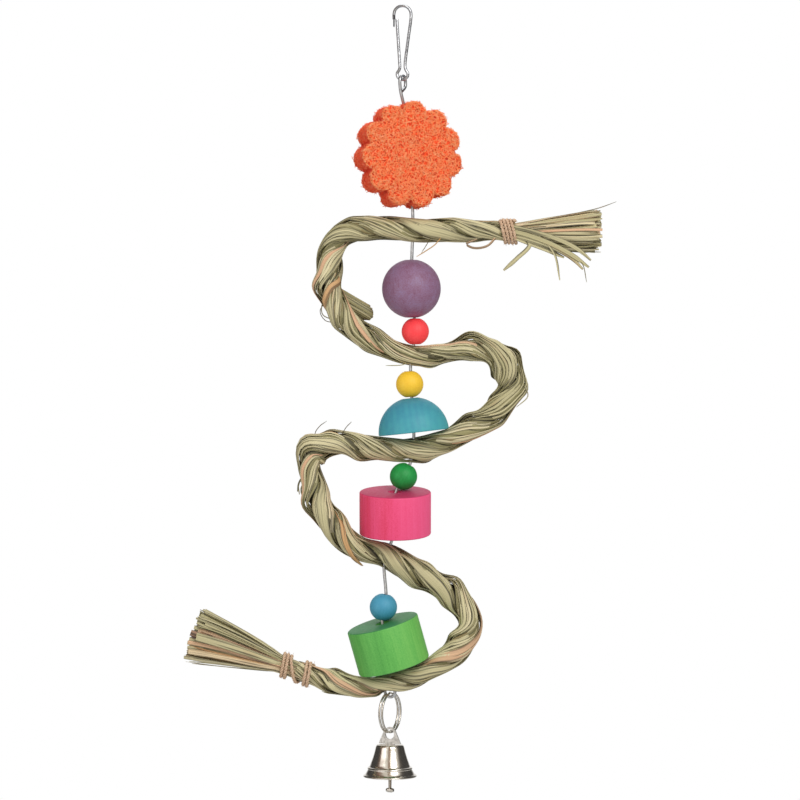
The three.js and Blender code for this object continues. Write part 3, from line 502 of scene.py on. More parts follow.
def dried_leaf():
    """Dried seagrass: straw and grey-green leaves with a dull sheen and brown patches.

    Fine veins, 0.4 mm apart, run along them, and dark splits about 1 mm apart. The splits and the darkened
    edges are painted shade, of cracks along a leaf and of gaps between leaves; the edges are a little
    browner too.
    """
    material, tree, shader = new_material("dried_seagrass")
    tone, along, across, edge = [
        add_node(tree, "Attribute", {"attribute_name": name}).outputs["Fac"] for name in LEAF_LAYERS
    ]
    on_leaf = add_node(tree, "CombineXYZ", None, {"X": across, "Y": along, "Z": tone})
    # Marks for each millimetre across and along, and a shift from tone to tone; then detail and roughness
    found = {}
    for layer, density, detail, roughness in (
        ("veins", (2.6, 0.02, 60.0), 3.0, 0.65),
        ("patches", (0.4, 0.05, 90.0), 3.0, 0.5),
        ("splits", (1.1, 0.025, 47.0), 1.0, 0.5),
    ):
        found[layer] = add_node(tree, "TexNoise", None, {
            "Vector": add_node(tree, "Mapping", None, {"Vector": on_leaf, "Scale": density}),
            "Scale": 1.0,
            "Detail": detail,
            "Roughness": roughness,
        })
    # The darkest tones, up to about 0.26, serve the rope's core and the leaves under each strand as painted
    # shade
    dye = add_node(tree, "ValToRGB", {"stops": (
        (0.0, "#3b3520"), (0.1, "#54482c"), (0.24, "#a09868"), (0.4, "#bfb589"), (0.55, "#d3c89b"),
        (0.7, "#dfd2a8"), (0.82, "#dcb089"), (0.91, "#c69a60"), (1.0, "#846764"),
    )}, {"Fac": tone})
    browned = add_node(tree, "MapRange", None, {
        "Value": found["patches"],
        "From Min": 0.58,
        "From Max": 0.78,
        "To Max": 0.6,
    })
    weathered = add_node(tree, "Mix", {"data_type": "RGBA"}, {0: browned, 6: dye, 7: paint("#b88f62")})
    # Veins darken a leaf in its own fine lines; splits and edges darken it as painted shade, of cracks
    # along it and of gaps between leaves, with the edges a little browner too, and the edge value also
    # carries the painted valley shade: between which values, and from which shade to which
    shaded = 1.0
    for value, low, high, start, end in (
        (found["veins"], 0.3, 0.7, 0.74, 1.12),
        (found["splits"], 0.36, 0.44, 0.36, 1.0),
        (edge, 0.4, 1.0, 1.0, 0.3),
    ):
        darker = add_node(tree, "MapRange", None, {
            "Value": value,
            "From Min": low,
            "From Max": high,
            "To Min": start,
            "To Max": end,
        })
        shaded = add_node(tree, "Math", {"operation": "MULTIPLY"}, {0: shaded, 1: darker})
    lined = add_node(tree, "Mix", {"data_type": "RGBA", "blend_type": "MULTIPLY"}, {
        0: 1.0,
        6: weathered.outputs[2],
        7: shaded,
    })
    relief = add_node(tree, "Bump", None, {
        "Height": found["veins"],
        "Strength": 0.5,
        "Distance": 0.2 * METRES,
    })
    feed(tree, shader, {"Base Color": lined.outputs[2], "Roughness": 0.62, "Normal": relief})
    return material


def spun_fibre(name, shades, size):
    """Spun plant fibre: dull, and flecked light and dark."""
    material, tree, shader = new_material(name)
    # Single fibres are under 0.1 mm, too fine to show, so the flecks are the size of tufts
    fleck = add_node(tree, "TexNoise", None, {
        "Vector": add_node(tree, "TexCoord").outputs["Object"],
        "Scale": 1 / (size * METRES),
        "Detail": 4.0,
        "Roughness": 0.7,
    })
    tint = add_node(tree, "ValToRGB", {"stops": tuple(zip((0.3, 0.5, 0.7), shades))}, {"Fac": fleck})
    relief = add_node(tree, "Bump", None, {"Height": fleck, "Strength": 0.6, "Distance": 0.3 * METRES})
    feed(tree, shader, {"Base Color": tint, "Roughness": 0.85, "Normal": relief})
    return material


def dyed_loofah(name, shades, pits):
    """Dried loofah soaked in orange dye: a matt felt of fibres, with painted shade in deep red on its side
    walls, deepest in the notches.
    """
    material, tree, shader = new_material(name)
    turn = Matrix.Rotation(LOOFAH_LEAN, 3, "Y") @ Matrix.Rotation(LOOFAH_TURN, 3, "Z")
    in_slice = add_node(tree, "Mapping", {"vector_type": "TEXTURE"}, {
        "Vector": add_node(tree, "TexCoord").outputs["Object"],
        "Location": LOOFAH_CENTRE * METRES,
        "Rotation": turn.to_euler(),
    })
    fleck_size = 1.3
    fleck = add_node(tree, "TexNoise", None, {
        "Vector": in_slice,
        "Scale": 1 / (fleck_size * METRES),
        "Detail": 5.0,
        "Roughness": 0.7,
    })
    tint = add_node(tree, "ValToRGB", {"stops": tuple(zip((pits, 0.5, 0.72), shades))}, {"Fac": fleck})
    parts = add_node(tree, "SeparateXYZ", None, {"Vector": in_slice}).outputs
    flat = add_node(tree, "CombineXYZ", None, {"X": parts["X"], "Y": parts["Z"]})
    reach = add_node(tree, "VectorMath", {"operation": "LENGTH"}, {0: flat}).outputs["Value"]
    depth = add_node(tree, "Math", {"operation": "ABSOLUTE"}, {0: parts["Y"]})
    # Painted shade in deep red, on the side walls back from the two faces and deepest in the notches in
    # from the outline
    wall_shade_parts = []
    for measure, low, high in ((reach, 21.4, 25.4), (depth, 6.2, 7.2)):
        wall_shade_parts.append(add_node(tree, "MapRange", None, {
            "Value": measure,
            "From Min": low * METRES,
            "From Max": high * METRES,
            "To Min": 1.0,
            "To Max": 0.0,
        }))
    inward = add_node(tree, "Math", {"operation": "MULTIPLY_ADD"}, {0: wall_shade_parts[0], 1: 0.4, 2: 0.6})
    painted_wall_shade = add_node(tree, "Math", {"operation": "MULTIPLY"}, {0: inward, 1: wall_shade_parts[1]})
    dyed = add_node(tree, "Mix", {"data_type": "RGBA"}, {0: painted_wall_shade, 6: tint, 7: paint("#f02208")})
    relief = add_node(tree, "Bump", None, {"Height": fleck, "Strength": 0.4, "Distance": 0.4 * METRES})
    feed(tree, shader, {"Base Color": dyed.outputs[2], "Roughness": 0.9, "Normal": relief})
    return material


galvanised = drawn_metal("galvanised_steel_wire", "#cfd1d4", "#a6a8ab", 0.36, 2.2)
spring_steel = drawn_metal("nickel_plated_spring_wire", "#bcbec2", "#85878c", 0.22, 1.6)
nickel = drawn_metal("nickel_plated_steel_sheet", "#e2ddd4", "#c9c2b6", 0.18, 5.0)
ring_nickel = drawn_metal("nickel_plated_ring_wire", "#dedad2", "#bab4aa", 0.26, 1.6)
dull_zinc = drawn_metal("dull_zinc_steel", "#f0f0ee", "#d4d4d1", 0.6, 1.5)
seagrass = dried_leaf()
jute = spun_fibre("jute_twine_fibre", ("#a78769", "#caa98b", "#e2caae"), 0.7)
# The felt under the fibres is painted darker red, darkest below the pits stop, as shade in the gaps between
# the fibres
loofah_felt = dyed_loofah("dyed_loofah_felt", ("#b82004", "#ee4816", "#ff622a"), 0.39)
loofah_fibre = dyed_loofah("dyed_loofah_fibre", ("#ff7038", "#ff9f62", "#ffcea4"), 0.33)


# Snap hook and spine wire

def snap_hook():
    """Spring wire bent to a crown, a narrow neck and a lower eye, with its tip hammered flat as a catch."""
    leg, crown_z = 4.35, -3.6
    neck, neck_z = 1.3, -30
    eye, eye_z = 2.75, -34.2

    def arc(radius, z, angles):
        turns = [math.radians(angle) for angle in angles]
        return [Vector((radius * math.cos(turn), 0, radius * math.sin(turn) + z)) for turn in turns]

    points = [
        Vector((-leg, 0, -6.2)), Vector((-leg, 0, crown_z)), *arc(leg, crown_z, range(150, 29, -30)),
        Vector((leg, 0, crown_z)), Vector(((leg + neck) / 2, 0, -16.8)), Vector((neck, 0, neck_z)),
        *arc(eye, eye_z, range(50, -231, -40)), Vector((-neck, 0, -30.75)),
    ]
    keep(
        wire_object("snap_hook_wire", [evenly(smooth_route(points), 0.4)], HOOK_WIRE, spring_steel),
        "hook", "steel_wire", "snap_hook",
    )

    bm = bmesh.new()
    rows, sides = 16, 12
    top, foot = -3.4, -10.25
    wire_half, thin_half, wide_half = 0.72, 0.4, 1.2

    def place(row, side):
        share = row / rows
        turn = 2 * math.pi * side / sides
        flat = min(1, share * 4)
        tip = math.sqrt(max(0, 1 - max(0, (share - 0.8) / 0.2) ** 2))
        thick = (wire_half + (thin_half - wire_half) * flat) * (1 if 0 < row < rows else 0)
        wide = (wire_half + (wide_half - wire_half) * flat) * tip * (1 if row else 0)
        return Vector((-leg + thick * math.cos(turn), wide * math.sin(turn), top + (foot - top) * share))

    rolled(bm, rows, sides, place)
    keep(mesh_object("snap_hook_catch", bm, spring_steel), "hook", "steel_wire")

    gate = evenly([Vector((-neck, 0, -30.8)), Vector((-2.9, 0, -6))], 0.8)
    keep(
        wire_object("snap_hook_gate_wire", [gate], HOOK_WIRE, spring_steel),
        "gate", "steel_wire", "snap_hook_gate",
    )


def spine_wire():
    """One steel wire from the hand-bent top eye, through everything, to the bottom eye."""
    turn = math.radians(60)
    top, foot = -34.95, -42.95
    shank, far = 2.7, 2.9

    def in_eye(side, z):
        return Vector((side * math.cos(turn), side * math.sin(turn), z))

    points = [
        in_eye(1.1 - 0.7 * shank, foot), in_eye(0.2 * far, foot + 0.8), in_eye(far, foot + 2.88),
        in_eye(far, top - 2.4), in_eye(0.7 * far, top - 0.48), in_eye(0.15 * far, top),
        in_eye(-0.65 * shank, top - 0.64), in_eye(-shank, top - 2.4), in_eye(-0.7 * shank, foot),
    ]
    axis = Vector((math.sin(LOOFAH_LEAN), 0, math.cos(LOOFAH_LEAN)))
    entry = LOOFAH_CENTRE + axis * 0.95 * LOOFAH_RADIUS
    points += [points[-1].lerp(entry, 0.55), entry]
    points += [LOOFAH_CENTRE + axis * share * LOOFAH_RADIUS for share in (0.5, 0, -0.5, -1.05)]
    for bay, bends in enumerate(WIRE_ROUTE):
        points.append(Vector((PASS_X[bay], 0, PASS_Z[bay])))
        points += [Vector((x, 0, in_bay(bay, share))) for share, x in bends]
    eye_radius, running_gap = 2.9, 0.45
    reach = eye_radius - SPINE_WIRE / 2 - running_gap - RING_WIRE / 2
    eye_centre = RING_TOP + UP * math.sqrt(reach ** 2 - (RING_PITCH / 2) ** 2)
    points.append(Vector((PASS_X[4], 0, eye_centre.z + 2 * eye_radius)))
    for step in range(11):
        angle = math.radians(112 + 31.3 * step)
        points.append(eye_centre + eye_radius * swung(RING_NORMAL, UP, angle))
    keep(
        wire_object("spine_wire_bent", [evenly(smooth_route(points), 0.6)], SPINE_WIRE, galvanised),
        "spine", "steel_wire", "spine_wire",
    )


snap_hook()
spine_wire()


# Wooden pieces

def ball_profile(radius, bore, count):
    """Radius and height of a bored ball, from its top down."""
    start = math.asin(bore / radius)
    angles = [start + (math.pi - 2 * start) * step / count for step in range(count + 1)]
    return [(radius * math.sin(angle), radius * math.cos(angle)) for angle in angles]


def half_ball_profile(radius, height, bore, count):
    """The same for the upper half of a ball, with its flat foot."""
    start = math.asin(bore / radius)
    angles = [start + (math.pi / 2 - start) * step / count for step in range(count + 1)]
    return [*[(radius * math.sin(a), height * math.cos(a)) for a in angles], (bore, 0)]


def block_profile(radius, height, bore):
    """The same for a bored cylinder."""
    half = height / 2
    return [(bore, half), (radius, half), (radius, -half), (bore, -half)]


def wooden_piece(
    node, body, slot, profile, ease, centre, lean, shades, layers,
    pitch=0, fade=(0, 0, 0), heart=(14, 20, 0), height=None, end_dye_and_shade=None,
):
    """A turned piece in its place, with its own dye, and any fade and darker ends that are partly painted
    shade.
    """
    turn = (math.radians(pitch), math.radians(lean), 0)
    centre = Vector(centre)
    material = stained_wood(f"{slot}_stained", centre, turn, shades, layers, fade, heart, height, end_dye_and_shade)
    place = Matrix.Translation(centre) @ Euler(turn).to_matrix().to_4x4()
    keep(mesh_object(f"{node}_turned", turned(profile, 96, ease), material, place), body, slot, node)


BEAD = ball_profile(7, 2, 30)
EVEN = {"pores": 0.5, "soak": 0.5, "streaks": 0.35}
GRAINED = {"pores": 0.6, "streaks": 0.45, "bands": 0.8}
wooden_piece(
    "purple_ball", "ball", "purple_wood", ball_profile(15, 2.7, 44), 0.5, (4.54, 0, -143.55), 0,
    ("#7c4c68", "#88627e", "#8c7092"), {"pores": 1.7, "soak": 1.3, "streaks": 0.6},
)
wooden_piece(
    "red_bead", "red", "red_wood", BEAD, 0.4, (6.52, 0, -165.32), 0,
    ("#f83038", "#ff4146", "#ff5f5a"), EVEN,
)
wooden_piece(
    "yellow_bead", "yellow", "yellow_wood", BEAD, 0.4, (3.67, 0, -192.22), -2,
    ("#ecb426", "#f6c62e", "#fcd448"), EVEN,
)
# Its fade upwards is the dye, bluer at the top; its fade to the left is painted shade, darker on the left
wooden_piece(
    "blue_half_ball", "half_ball", "teal_wood", half_ball_profile(18, 18, 3.3, 34), 0.6,
    (5.79, 0, -216.84), -6.3, ("#48aaa4", "#43a0aa", "#388ba2"),
    {"pores": 0.35, "soak": 0.6, "rings": 0.12}, fade=(-0.008, 0, 0.03), heart=(-20, 12, 0),
)
wooden_piece(
    "green_bead", "dark_green", "dark_green_wood", BEAD, 0.4, (0.51, 0, -239.29), 28,
    ("#0a7c30", "#149440", "#28aa50"), {"pores": 0.5, "soak": 1.0, "streaks": 0.5},
)
# Its fade is partly uneven dye and partly painted shade, darker on the left; its darker ends are partly
# painted shade too
wooden_piece(
    "pink_block", "pink", "pink_wood", block_profile(18.25, 22, 3.3), 0.8, (-3.71, 0, -257.81), 0,
    ("#d9284c", "#ee4a7c", "#f45e90"), GRAINED,
    pitch=9, fade=(0.015, 0, 0), height=22, end_dye_and_shade="#b81c58",
)
wooden_piece(
    "blue_bead", "blue", "blue_wood", BEAD, 0.4, (-9.74, 0, -305.94), 10,
    ("#3888a8", "#479ab8", "#5cb0c8"), EVEN,
)
# Its fade is partly uneven dye and partly painted shade, darker on the left; its darker ends are partly
# painted shade too
wooden_piece(
    "green_block", "light_green", "light_green_wood", block_profile(18.5, 23, 3.3), 0.8,
    (-7.26, 0, -324.87), -15.5, ("#3f9038", "#62b450", "#84c860"), GRAINED,
    pitch=6, fade=(0.01, 0, 0), height=23, end_dye_and_shade="#1f7244",
)


# Split ring, bell and clapper

def split_ring():
    """Two coils of one wire with a short crank between them, turned up to where the wire's eye hides it."""
    centre = RING_TOP - UP * RING_RADIUS
    crank_arc, crank_place, steps = 40, 90, 150
    route = []
    for step in range(steps + 1):
        swept = (720 - crank_arc) * step / steps
        crank = eased(swept, 360 - crank_arc, 360)
        angle = math.radians(crank_place + crank_arc / 2 + swept)
        beside = RING_NORMAL * RING_PITCH * (crank - 0.5)
        route.append(centre + RING_RADIUS * swung(RING_ACROSS, UP, angle) + beside)
    coils = wire_object("split_ring_coils", [route], RING_WIRE, ring_nickel)
    keep(coils, "ring", "steel_wire", "split_ring")


def bell():
    """Pressed bell: a flat crown, a flaring skirt, a ridge and a rolled lip."""
    wall, lip_wall = 0.6, 0.1
    lip_top, lip_foot = -15, -16.45
    outer = smooth_route([Vector((radius, 0, height)) for radius, height in (
        (5.6, 0), (6.5, -0.18), (7.1, -0.9), (7.6, -2.8), (8.4, -5.6), (9.5, -8.8), (10.5, -11.3),
        (11.2, -11.75), (11.5, -12.3), (11.35, -12.75), (11.6, -13.3), (12.5, -14.9), (13.5, -15.75),
        (13.7, -16.15), (13.45, -16.5),
    )], 4)
    profile = [(0, 0), *[(at.x, at.z) for at in outer]]
    inner = []
    for at in reversed(outer):
        below = at.z - (wall / 2 if at.z > lip_top else lip_wall)
        inner.append((max(0, at.x - wall), max(below, lip_foot)))
    profile += [*inner[1:], (0, -wall)]
    bm = turned(profile, 128, open_profile=True)
    place = BELL_PLACE @ Matrix.Translation((0, 0, BELL_CROWN))
    keep(mesh_object("bell_shell_pressed", bm, nickel, place), "bell", "nickel_plate", "bell_shell")


split_ring()
bell()
for name, material in (("bell_hanger", dull_zinc), ("clapper", ring_nickel)):
    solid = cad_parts[name]
    solid.data.materials.clear()
    solid.data.materials.append(material)


# Grass rope

# Sizes of the rope, and how far it is pressed at each pass
ROPE_DIAMETER, NECK_DIAMETER = 12, 10
ROPE_HALF = ROPE_DIAMETER / 2
NECK_LENGTH, NECK_TAPER = 10, 10
PASS_PRESS = (0, 0.9, 0, 0, 1)
PRESS_LENGTH, PRESS_FADE = 18, 14

# A strand is a belt of leaves round a third of the rope: half its angle, the drop of its borders, its
# spread in front, how much less it spreads at the sides, how far its borders tuck under, and how much
# quicker it turns in front
BELT_HALF = math.radians(60)
BELT_DROP = 2.6
BELT_SPREAD = 1.28
SIDE_PINCH = 0.62
BELT_TUCK = 1.3
STEEPER_FRONT = 0.18

# A strand is twisted against the rope, so its leaves run straighter than it does: angle per millimetre
COUNTER_TWIST = math.radians(2.2)

# Places along the rope, from its right end, where one strand after another comes to the front
STRAND_FRONTS = (
    14, 39, 63, 86, 103, 122, 141, 167, 197, 224, 247, 273, 298,
    320, 341, 362, 385, 406, 430, 456, 479, 499, 521, 541, 562,
)

# Corners where a strand folds over the rope's side: place along, side, how far it stands out and its length
FOLD_CORNERS = (
    (80, -1, 1.0, 4), (102, 1, 2.3, 11), (113, -1, 3.2, 5), (133, -1, 1.2, 4), (151, -1, 1.4, 5),
    (152, 1, 1.8, 8), (182, -1, 2.0, 5), (204, 1, 2.6, 6), (205, -1, 1.6, 6), (215, 1, 1.5, 3),
    (223, 1, 3.2, 4), (225, -1, 2.2, 7), (230, -1, 2.8, 8), (237, 1, 2.8, 4), (247, -1, 1.8, 6),
    (252, -1, 1.2, 6), (254, 1, 1.0, 4), (267, -1, 1.6, 5), (294, 1, 2.2, 5), (326, 1, 2.4, 6),
    (341, -1, 1.6, 4), (351, -1, 3.4, 4), (352, 1, 2.8, 5), (376, 1, 1.2, 6), (378, -1, 2.4, 5),
    (388, 1, 0.6, 5), (394, 1, 2.2, 8), (436, 1, 1.4, 9), (445, -1, 1.4, 5), (448, 1, 2.2, 5),
    (463, 1, 2.8, 5), (466, -1, 2.0, 6), (472, 1, 1.8, 7), (495, -1, 2.4, 7), (500, 1, 0.8, 5),
    (528, -1, 1.0, 9), (556, 1, 0.8, 5), (568, -1, 2.0, 6),
)

# Slow changes along a strand: amount, wavelength, and two seeds for the noise
SWAY = (0.14, 26, 5.9, 12.5)
SPREAD_CHANGE = (0.12, 30, 8.3, 21.5)
THICKNESS_CHANGE = (0.6, 14, 7.3, 0.5)
TILT_CHANGE = (1.1, 20, 5.1, 40.5)
TONE_CHANGE = (0.22, 16, 3.7, 9.5)

# Distances from a pass over which the changes of thickness and tilt grow from nothing
CALM_NEAR, CALM_FAR = 8, 22

# Height above the ring's top, at rest, that its swing takes up in the rope's underside
RING_ROOM = 1.6

# Broad leaves on the front: which strand front, degrees from the strand's middle, width and tone
BROAD_LEAVES = (
    (1, 0, 4, 0.5), (2, 5, 5.5, 0.45), (2, -45, 2, 0.8), (5, -10, 2.2, 0.82), (5, 25, 3, 0.5),
    (7, 15, 2.2, 0.82), (15, 0, 3.5, 0.6), (16, -25, 2, 0.82), (17, 0, 5, 0.45), (19, 0, 5, 0.42),
    (20, 0, 5.5, 0.46), (22, 10, 5, 0.81), (22, -35, 4, 0.5), (23, 0, 5.5, 0.48), (24, 0, 5, 0.52),
    (25, -20, 3.6, 0.81), (25, 15, 3, 0.54),
)

# Leaves across the strands: places along the rope, degrees from its front and reach; then width and tone
CROSSING_LEAVES = (
    (((109, 110, 5.8), (113, 55, 7.0), (117, 5, 7.1), (121, -40, 7.0), (125, -95, 5.8)), 3.4, 0.88),
    (((388, 85, 5.8), (396, 45, 6.9), (404, -5, 7.0), (410, -45, 7.2), (415, -75, 8.2)), 2.6, 0.89),
)

# Leaves and fibres that stand off the rope: points as x, y and z; then width and tone
LOOSE_LEAVES = (
    (((20, -3, -117), (16.5, -9, -121.5), (12.5, -13.5, -124.5), (7, -15, -128)), 0.55, 0.9),
    (((14.5, -3, -117.4), (12, -10, -122), (9.5, -14.5, -126)), 0.4, 0.16),
    (((5, -1, -180), (0, -4, -182.4), (-8.6, -4.5, -182.8)), 0.45, 0.24),
    (((-44, -3, -221.5), (-44.4, -4, -217), (-42, -4.5, -213.5), (-38.5, -4.5, -211)), 0.4, 0.12),
    (((-31, -3, -218), (-28.5, -4, -214), (-25.8, -4, -211.3)), 0.4, 0.12),
    (((-37.5, -2, -147), (-41, -2.5, -152), (-40.5, -2.5, -157), (-33, -2, -160)), 0.5, 0.14),
    (((-38, -1, -149), (-42, -1.5, -155), (-39, -1.5, -160), (-32, -1, -160.5)), 0.4, 0.1),
    (((56, -2, -187), (63, -2.5, -195), (63.8, -2.5, -198.5), (58, -2, -204)), 0.55, 0.4),
    (((-48, -3, -236), (-52.5, -2.5, -242), (-53.5, -2, -247)), 0.9, 0.26),
    (((-48, -1, -238), (-53, -1, -243), (-52.5, -1, -248.5)), 0.8, 0.5),
    (((-48, -4, -240), (-51.5, -4, -245), (-51, -4, -249.5)), 0.8, 0.34),
    (((48, -3, -117), (43, -4.5, -122), (36, -5, -123), (32.5, -4.5, -121), (38, -4, -118.5)), 1.2, 0.8),
    (((55, -5, -114), (66, -8, -117.5), (77, -9.5, -122), (87, -9, -127.5), (94.5, -8.5, -133)), 2.4, 0.36),
    (
        ((55, -4, -116), (66, -7.5, -119.5), (77, -8.8, -123.5), (86, -8.5, -128.5), (91.5, -8, -134)),
        2.2, 0.44,
    ),
    (((55, -5, -112), (67, -8.5, -115), (79, -10, -119), (89, -9.5, -124), (95.5, -9, -129.5)), 2.2, 0.4),
    (((55, -4, -117), (65, -6.5, -121), (74, -7.5, -124.5), (82, -7.5, -128)), 2.2, 0.5),
    (((60, -4, -117), (64.5, -6.5, -121.5), (58, -7, -128.5), (51.3, -7, -134.5)), 2.2, 0.42),
    (((60, -5, -114), (70, -8.5, -118), (77, -9, -126.3), (79.8, -8.5, -139.6)), 1.1, 0.5),
    (((78, -1, -107), (90, -2, -104.8), (100, -2, -102.5), (108.9, -2, -99.3)), 0.45, 0.14),
    (((84, -8.5, -126), (91, -8.8, -131), (93.4, -8.5, -140.6)), 0.45, 0.16),
)

rope_route = smooth_route([Vector((x, y, in_bay(bay, share))) for bay, share, x, y in ROPE_ROUTE])
rope_points = evenly(rope_route, 1.6)
rope_last = len(rope_points) - 1
rope_step = lengths_along(rope_points)[-1] / rope_last
rope_length = rope_step * rope_last


def nearest_along(place):
    """Place along the rope that is nearest to a point."""
    return min(range(rope_last + 1), key=lambda step: (rope_points[step] - place).length) * rope_step


PASS_ALONG = [nearest_along(Vector((x, 0, z))) for x, z in zip(PASS_X, PASS_Z)]


def rope_radius(along):
    """Half the rope's thickness: narrow under the twine, and pressed where wooden pieces bear on it."""
    narrowed = 1 - eased(min(along, rope_length - along), NECK_LENGTH, NECK_LENGTH + NECK_TAPER)
    pressed = [
        press * (1 - eased(abs(along - place), PRESS_LENGTH, PRESS_LENGTH + PRESS_FADE))
        for press, place in zip(PASS_PRESS, PASS_ALONG)
    ]
    return (ROPE_DIAMETER + (NECK_DIAMETER - ROPE_DIAMETER) * narrowed) / 2 - max(pressed)


def strands_passed(along):
    """How many strands have come to the front by a place along the rope."""
    ahead = sum(front <= along for front in STRAND_FRONTS)
    later = min(len(STRAND_FRONTS) - 1, max(1, ahead))
    start, end = STRAND_FRONTS[later - 1], STRAND_FRONTS[later]
    return later - 1 + (along - start) / (end - start)


def rope_frames():
    """Middle, across and depth directions, radius and twist of the rope at each step along it."""
    frames = []
    for step, at in enumerate(rope_points):
        tangent = heading(rope_points, step).normalized()
        across = tangent.cross(Vector((0, 1, 0))).normalized()
        depth = across.cross(tangent)
        along = step * rope_step
        frames.append((at, across, depth, rope_radius(along), -2 * math.pi * strands_passed(along) / 3))
    return frames


ROPE_FRAMES = rope_frames()


def folded(turn):
    """A strand's turn from the front, made quicker across the front and back than round the sides."""
    return turn + STEEPER_FRONT * math.sin(2 * turn)


def clear_of_ring(place, out):
    """A leaf's point under the fifth pass, pushed up flat to leave the ring room to swing."""
    inside, outside, fade = 3, 5.5, 1.8
    offset = place - RING_TOP
    near = 1 - eased(abs(offset.dot(RING_NORMAL)), inside, outside)
    flat = near * (1 - eased(offset.z, RING_ROOM, RING_ROOM + fade))
    if offset.length > 2 * RING_RADIUS or flat == 0:
        return place, out
    return place + UP * near * max(0, RING_ROOM - offset.z), out.lerp(-UP, flat).normalized()


def wander(along, strand, amount, wavelength, strand_seed, seed):
    """Slow random change along a strand, by its amount up or down."""
    return amount * noise.noise(Vector((along / wavelength, strand_seed * strand, seed)))


def on_rope(step, strand, lean, lift):
    """A point on a strand's belt of leaves, at an angle of lean from the belt's middle, and the way out."""
    at, across, depth, radius, twist = ROPE_FRAMES[step]
    along = step * rope_step
    share = lean / BELT_HALF
    centre = twist + 2 * math.pi * strand / 3
    spread = BELT_SPREAD - SIDE_PINCH * math.sin(centre) ** 2 + wander(along, strand, *SPREAD_CHANGE)
    angle = folded(centre + lean * spread + wander(along, strand, *SWAY)) - math.pi / 2
    out = swung(across, depth, angle)
    reach = radius * (1 - BELT_DROP / ROPE_HALF * min(BELT_TUCK, abs(share)) ** 3) + lift
    calm = min(eased(abs(along - place), CALM_NEAR, CALM_FAR) for place in PASS_ALONG)
    reach += calm * wander(along, strand, *THICKNESS_CHANGE)
    reach += calm * share * wander(along, strand, *TILT_CHANGE)
    for place, side, stands_out, length in FOLD_CORNERS:
        beside = max(0, side * math.cos(angle)) ** 3
        reach += stands_out * beside * math.exp(-((along - place) / length) ** 2)
    return clear_of_ring(at + out * reach, out)


def lay_leaf(
    leaves, strand, first, last, lean, width, lift, tone, twist=COUNTER_TWIST, loose=0.0, cup=0.03,
):
    """Lays one leaf along a strand from step to step. It is painted darker as shade where it goes under the
    next strand.
    """
    loose_steps, border_shade = 6, 0.46
    middle, out, widths, valley_shade = [], [], [], []
    for step in range(first, last + 1):
        end = max(0, 1 - (last - step) / loose_steps) if loose else 0
        turned_lean = lean + twist * rope_step * (step - (first + last) / 2)
        place, outward = on_rope(step, strand, turned_lean, lift + loose * end ** 2)
        middle.append(place)
        out.append(outward)
        widths.append(width * ROPE_FRAMES[step][3] / ROPE_HALF * (1 - 0.5 * end))
        # Painted shade in the valley where the leaf goes under the next strand
        valley_shade.append(border_shade * eased(abs(turned_lean) / BELT_HALF, 0.8, 0.88))
    leaves.add(middle, out, widths, LEAF_THICKNESS, tone, cup, valley_shade)


def leaf_tone(dice, middle):
    """Tone of a leaf near its neighbours' tone, with now and then a reddish or a dark one."""
    strange = 0.08
    if dice.random() < strange:
        return dice.choice((0.2, 0.26, 0.8, 0.84, 0.89))
    return min(0.73, max(0.3, middle + dice.uniform(-0.12, 0.12)))


def round_rope(along, angle, reach):
    """A point beside the rope, at an angle from its front, and the way out."""
    at, across, depth, radius, twist = ROPE_FRAMES[round(along / rope_step)]
    out = swung(across, depth, math.radians(angle - 90))
    return at + out * reach, out


def rope_core():
    """The inside of the rope, seen between its leaves, painted near-black as shade."""
    leaves = LeafBundle()
    sides = 20
    share = 0.58

    def place(row, side):
        if row in (0, rope_last):
            return ROPE_FRAMES[row][0]
        return round_rope(row * rope_step, 360 * side / sides, share * ROPE_FRAMES[row][3])[0]

    # The core keeps tone 0, the near-black first stop of the leaf colours: painted shade
    rolled(leaves.bm, rope_last, sides, place)
    keep(leaves.object("grass_rope_core", seagrass), "spine", "grass", "grass_rope")


def grass_strand(strand, seed):
    """One strand: narrow leaves side by side, each crossing from one border to the other, over dark ones
    that are painted shade in the gaps between them.
    """
    dice = random.Random(seed)
    leaves = LeafBundle()
    under, under_width, under_lift = 5, 3.2, -0.55
    loose_share, broad_lift, usual_tone = 0.07, 0.16, 0.53
    for slot in range(under):
        lean = ((slot + 0.5) / under * 2 - 1) * BELT_HALF
        # The under leaves' dark tones are painted shade, seen through the gaps between the leaves above
        tone = dice.uniform(0.18, 0.26)
        lay_leaf(leaves, strand, 0, rope_last, lean, under_width, under_lift, tone, twist=0)
    crossing = round(BELT_TUCK * BELT_HALF / (COUNTER_TWIST * rope_step))
    step = -crossing
    while step < rope_last + crossing:
        first, last = max(0, step - crossing), min(rope_last, step + crossing)
        lean = COUNTER_TWIST * rope_step * ((first + last) / 2 - step)
        width = dice.choice((0.95, 1.05, 1.15, 1.2, 1.3, 1.4, 1.6, 1.9, 2.3))
        lift = dice.uniform(-0.3, 0.1)
        twist = COUNTER_TWIST * dice.uniform(0.9, 1.1)
        loose = 0
        if dice.random() < loose_share:
            last = max(first, last - dice.randint(8, 14))
            loose = dice.uniform(0.6, 1.6)
        tone = leaf_tone(dice, usual_tone + wander(step, strand, *TONE_CHANGE))
        if last - first > 8:
            lay_leaf(leaves, strand, first, last, lean, width, lift, tone, twist, loose)
        step += dice.choice((2, 3, 3, 3, 4))
    for front, lean, width, tone in BROAD_LEAVES:
        if (front - 1) % 3 == strand:
            middle = round(STRAND_FRONTS[front - 1] / rope_step)
            first, last = max(0, middle - crossing), min(rope_last, middle + crossing)
            lay_leaf(leaves, strand, first, last, math.radians(lean), width, broad_lift, tone, cup=0.07)
    keep(leaves.object(f"grass_rope_strand_{strand + 1}", seagrass), "spine", "grass")


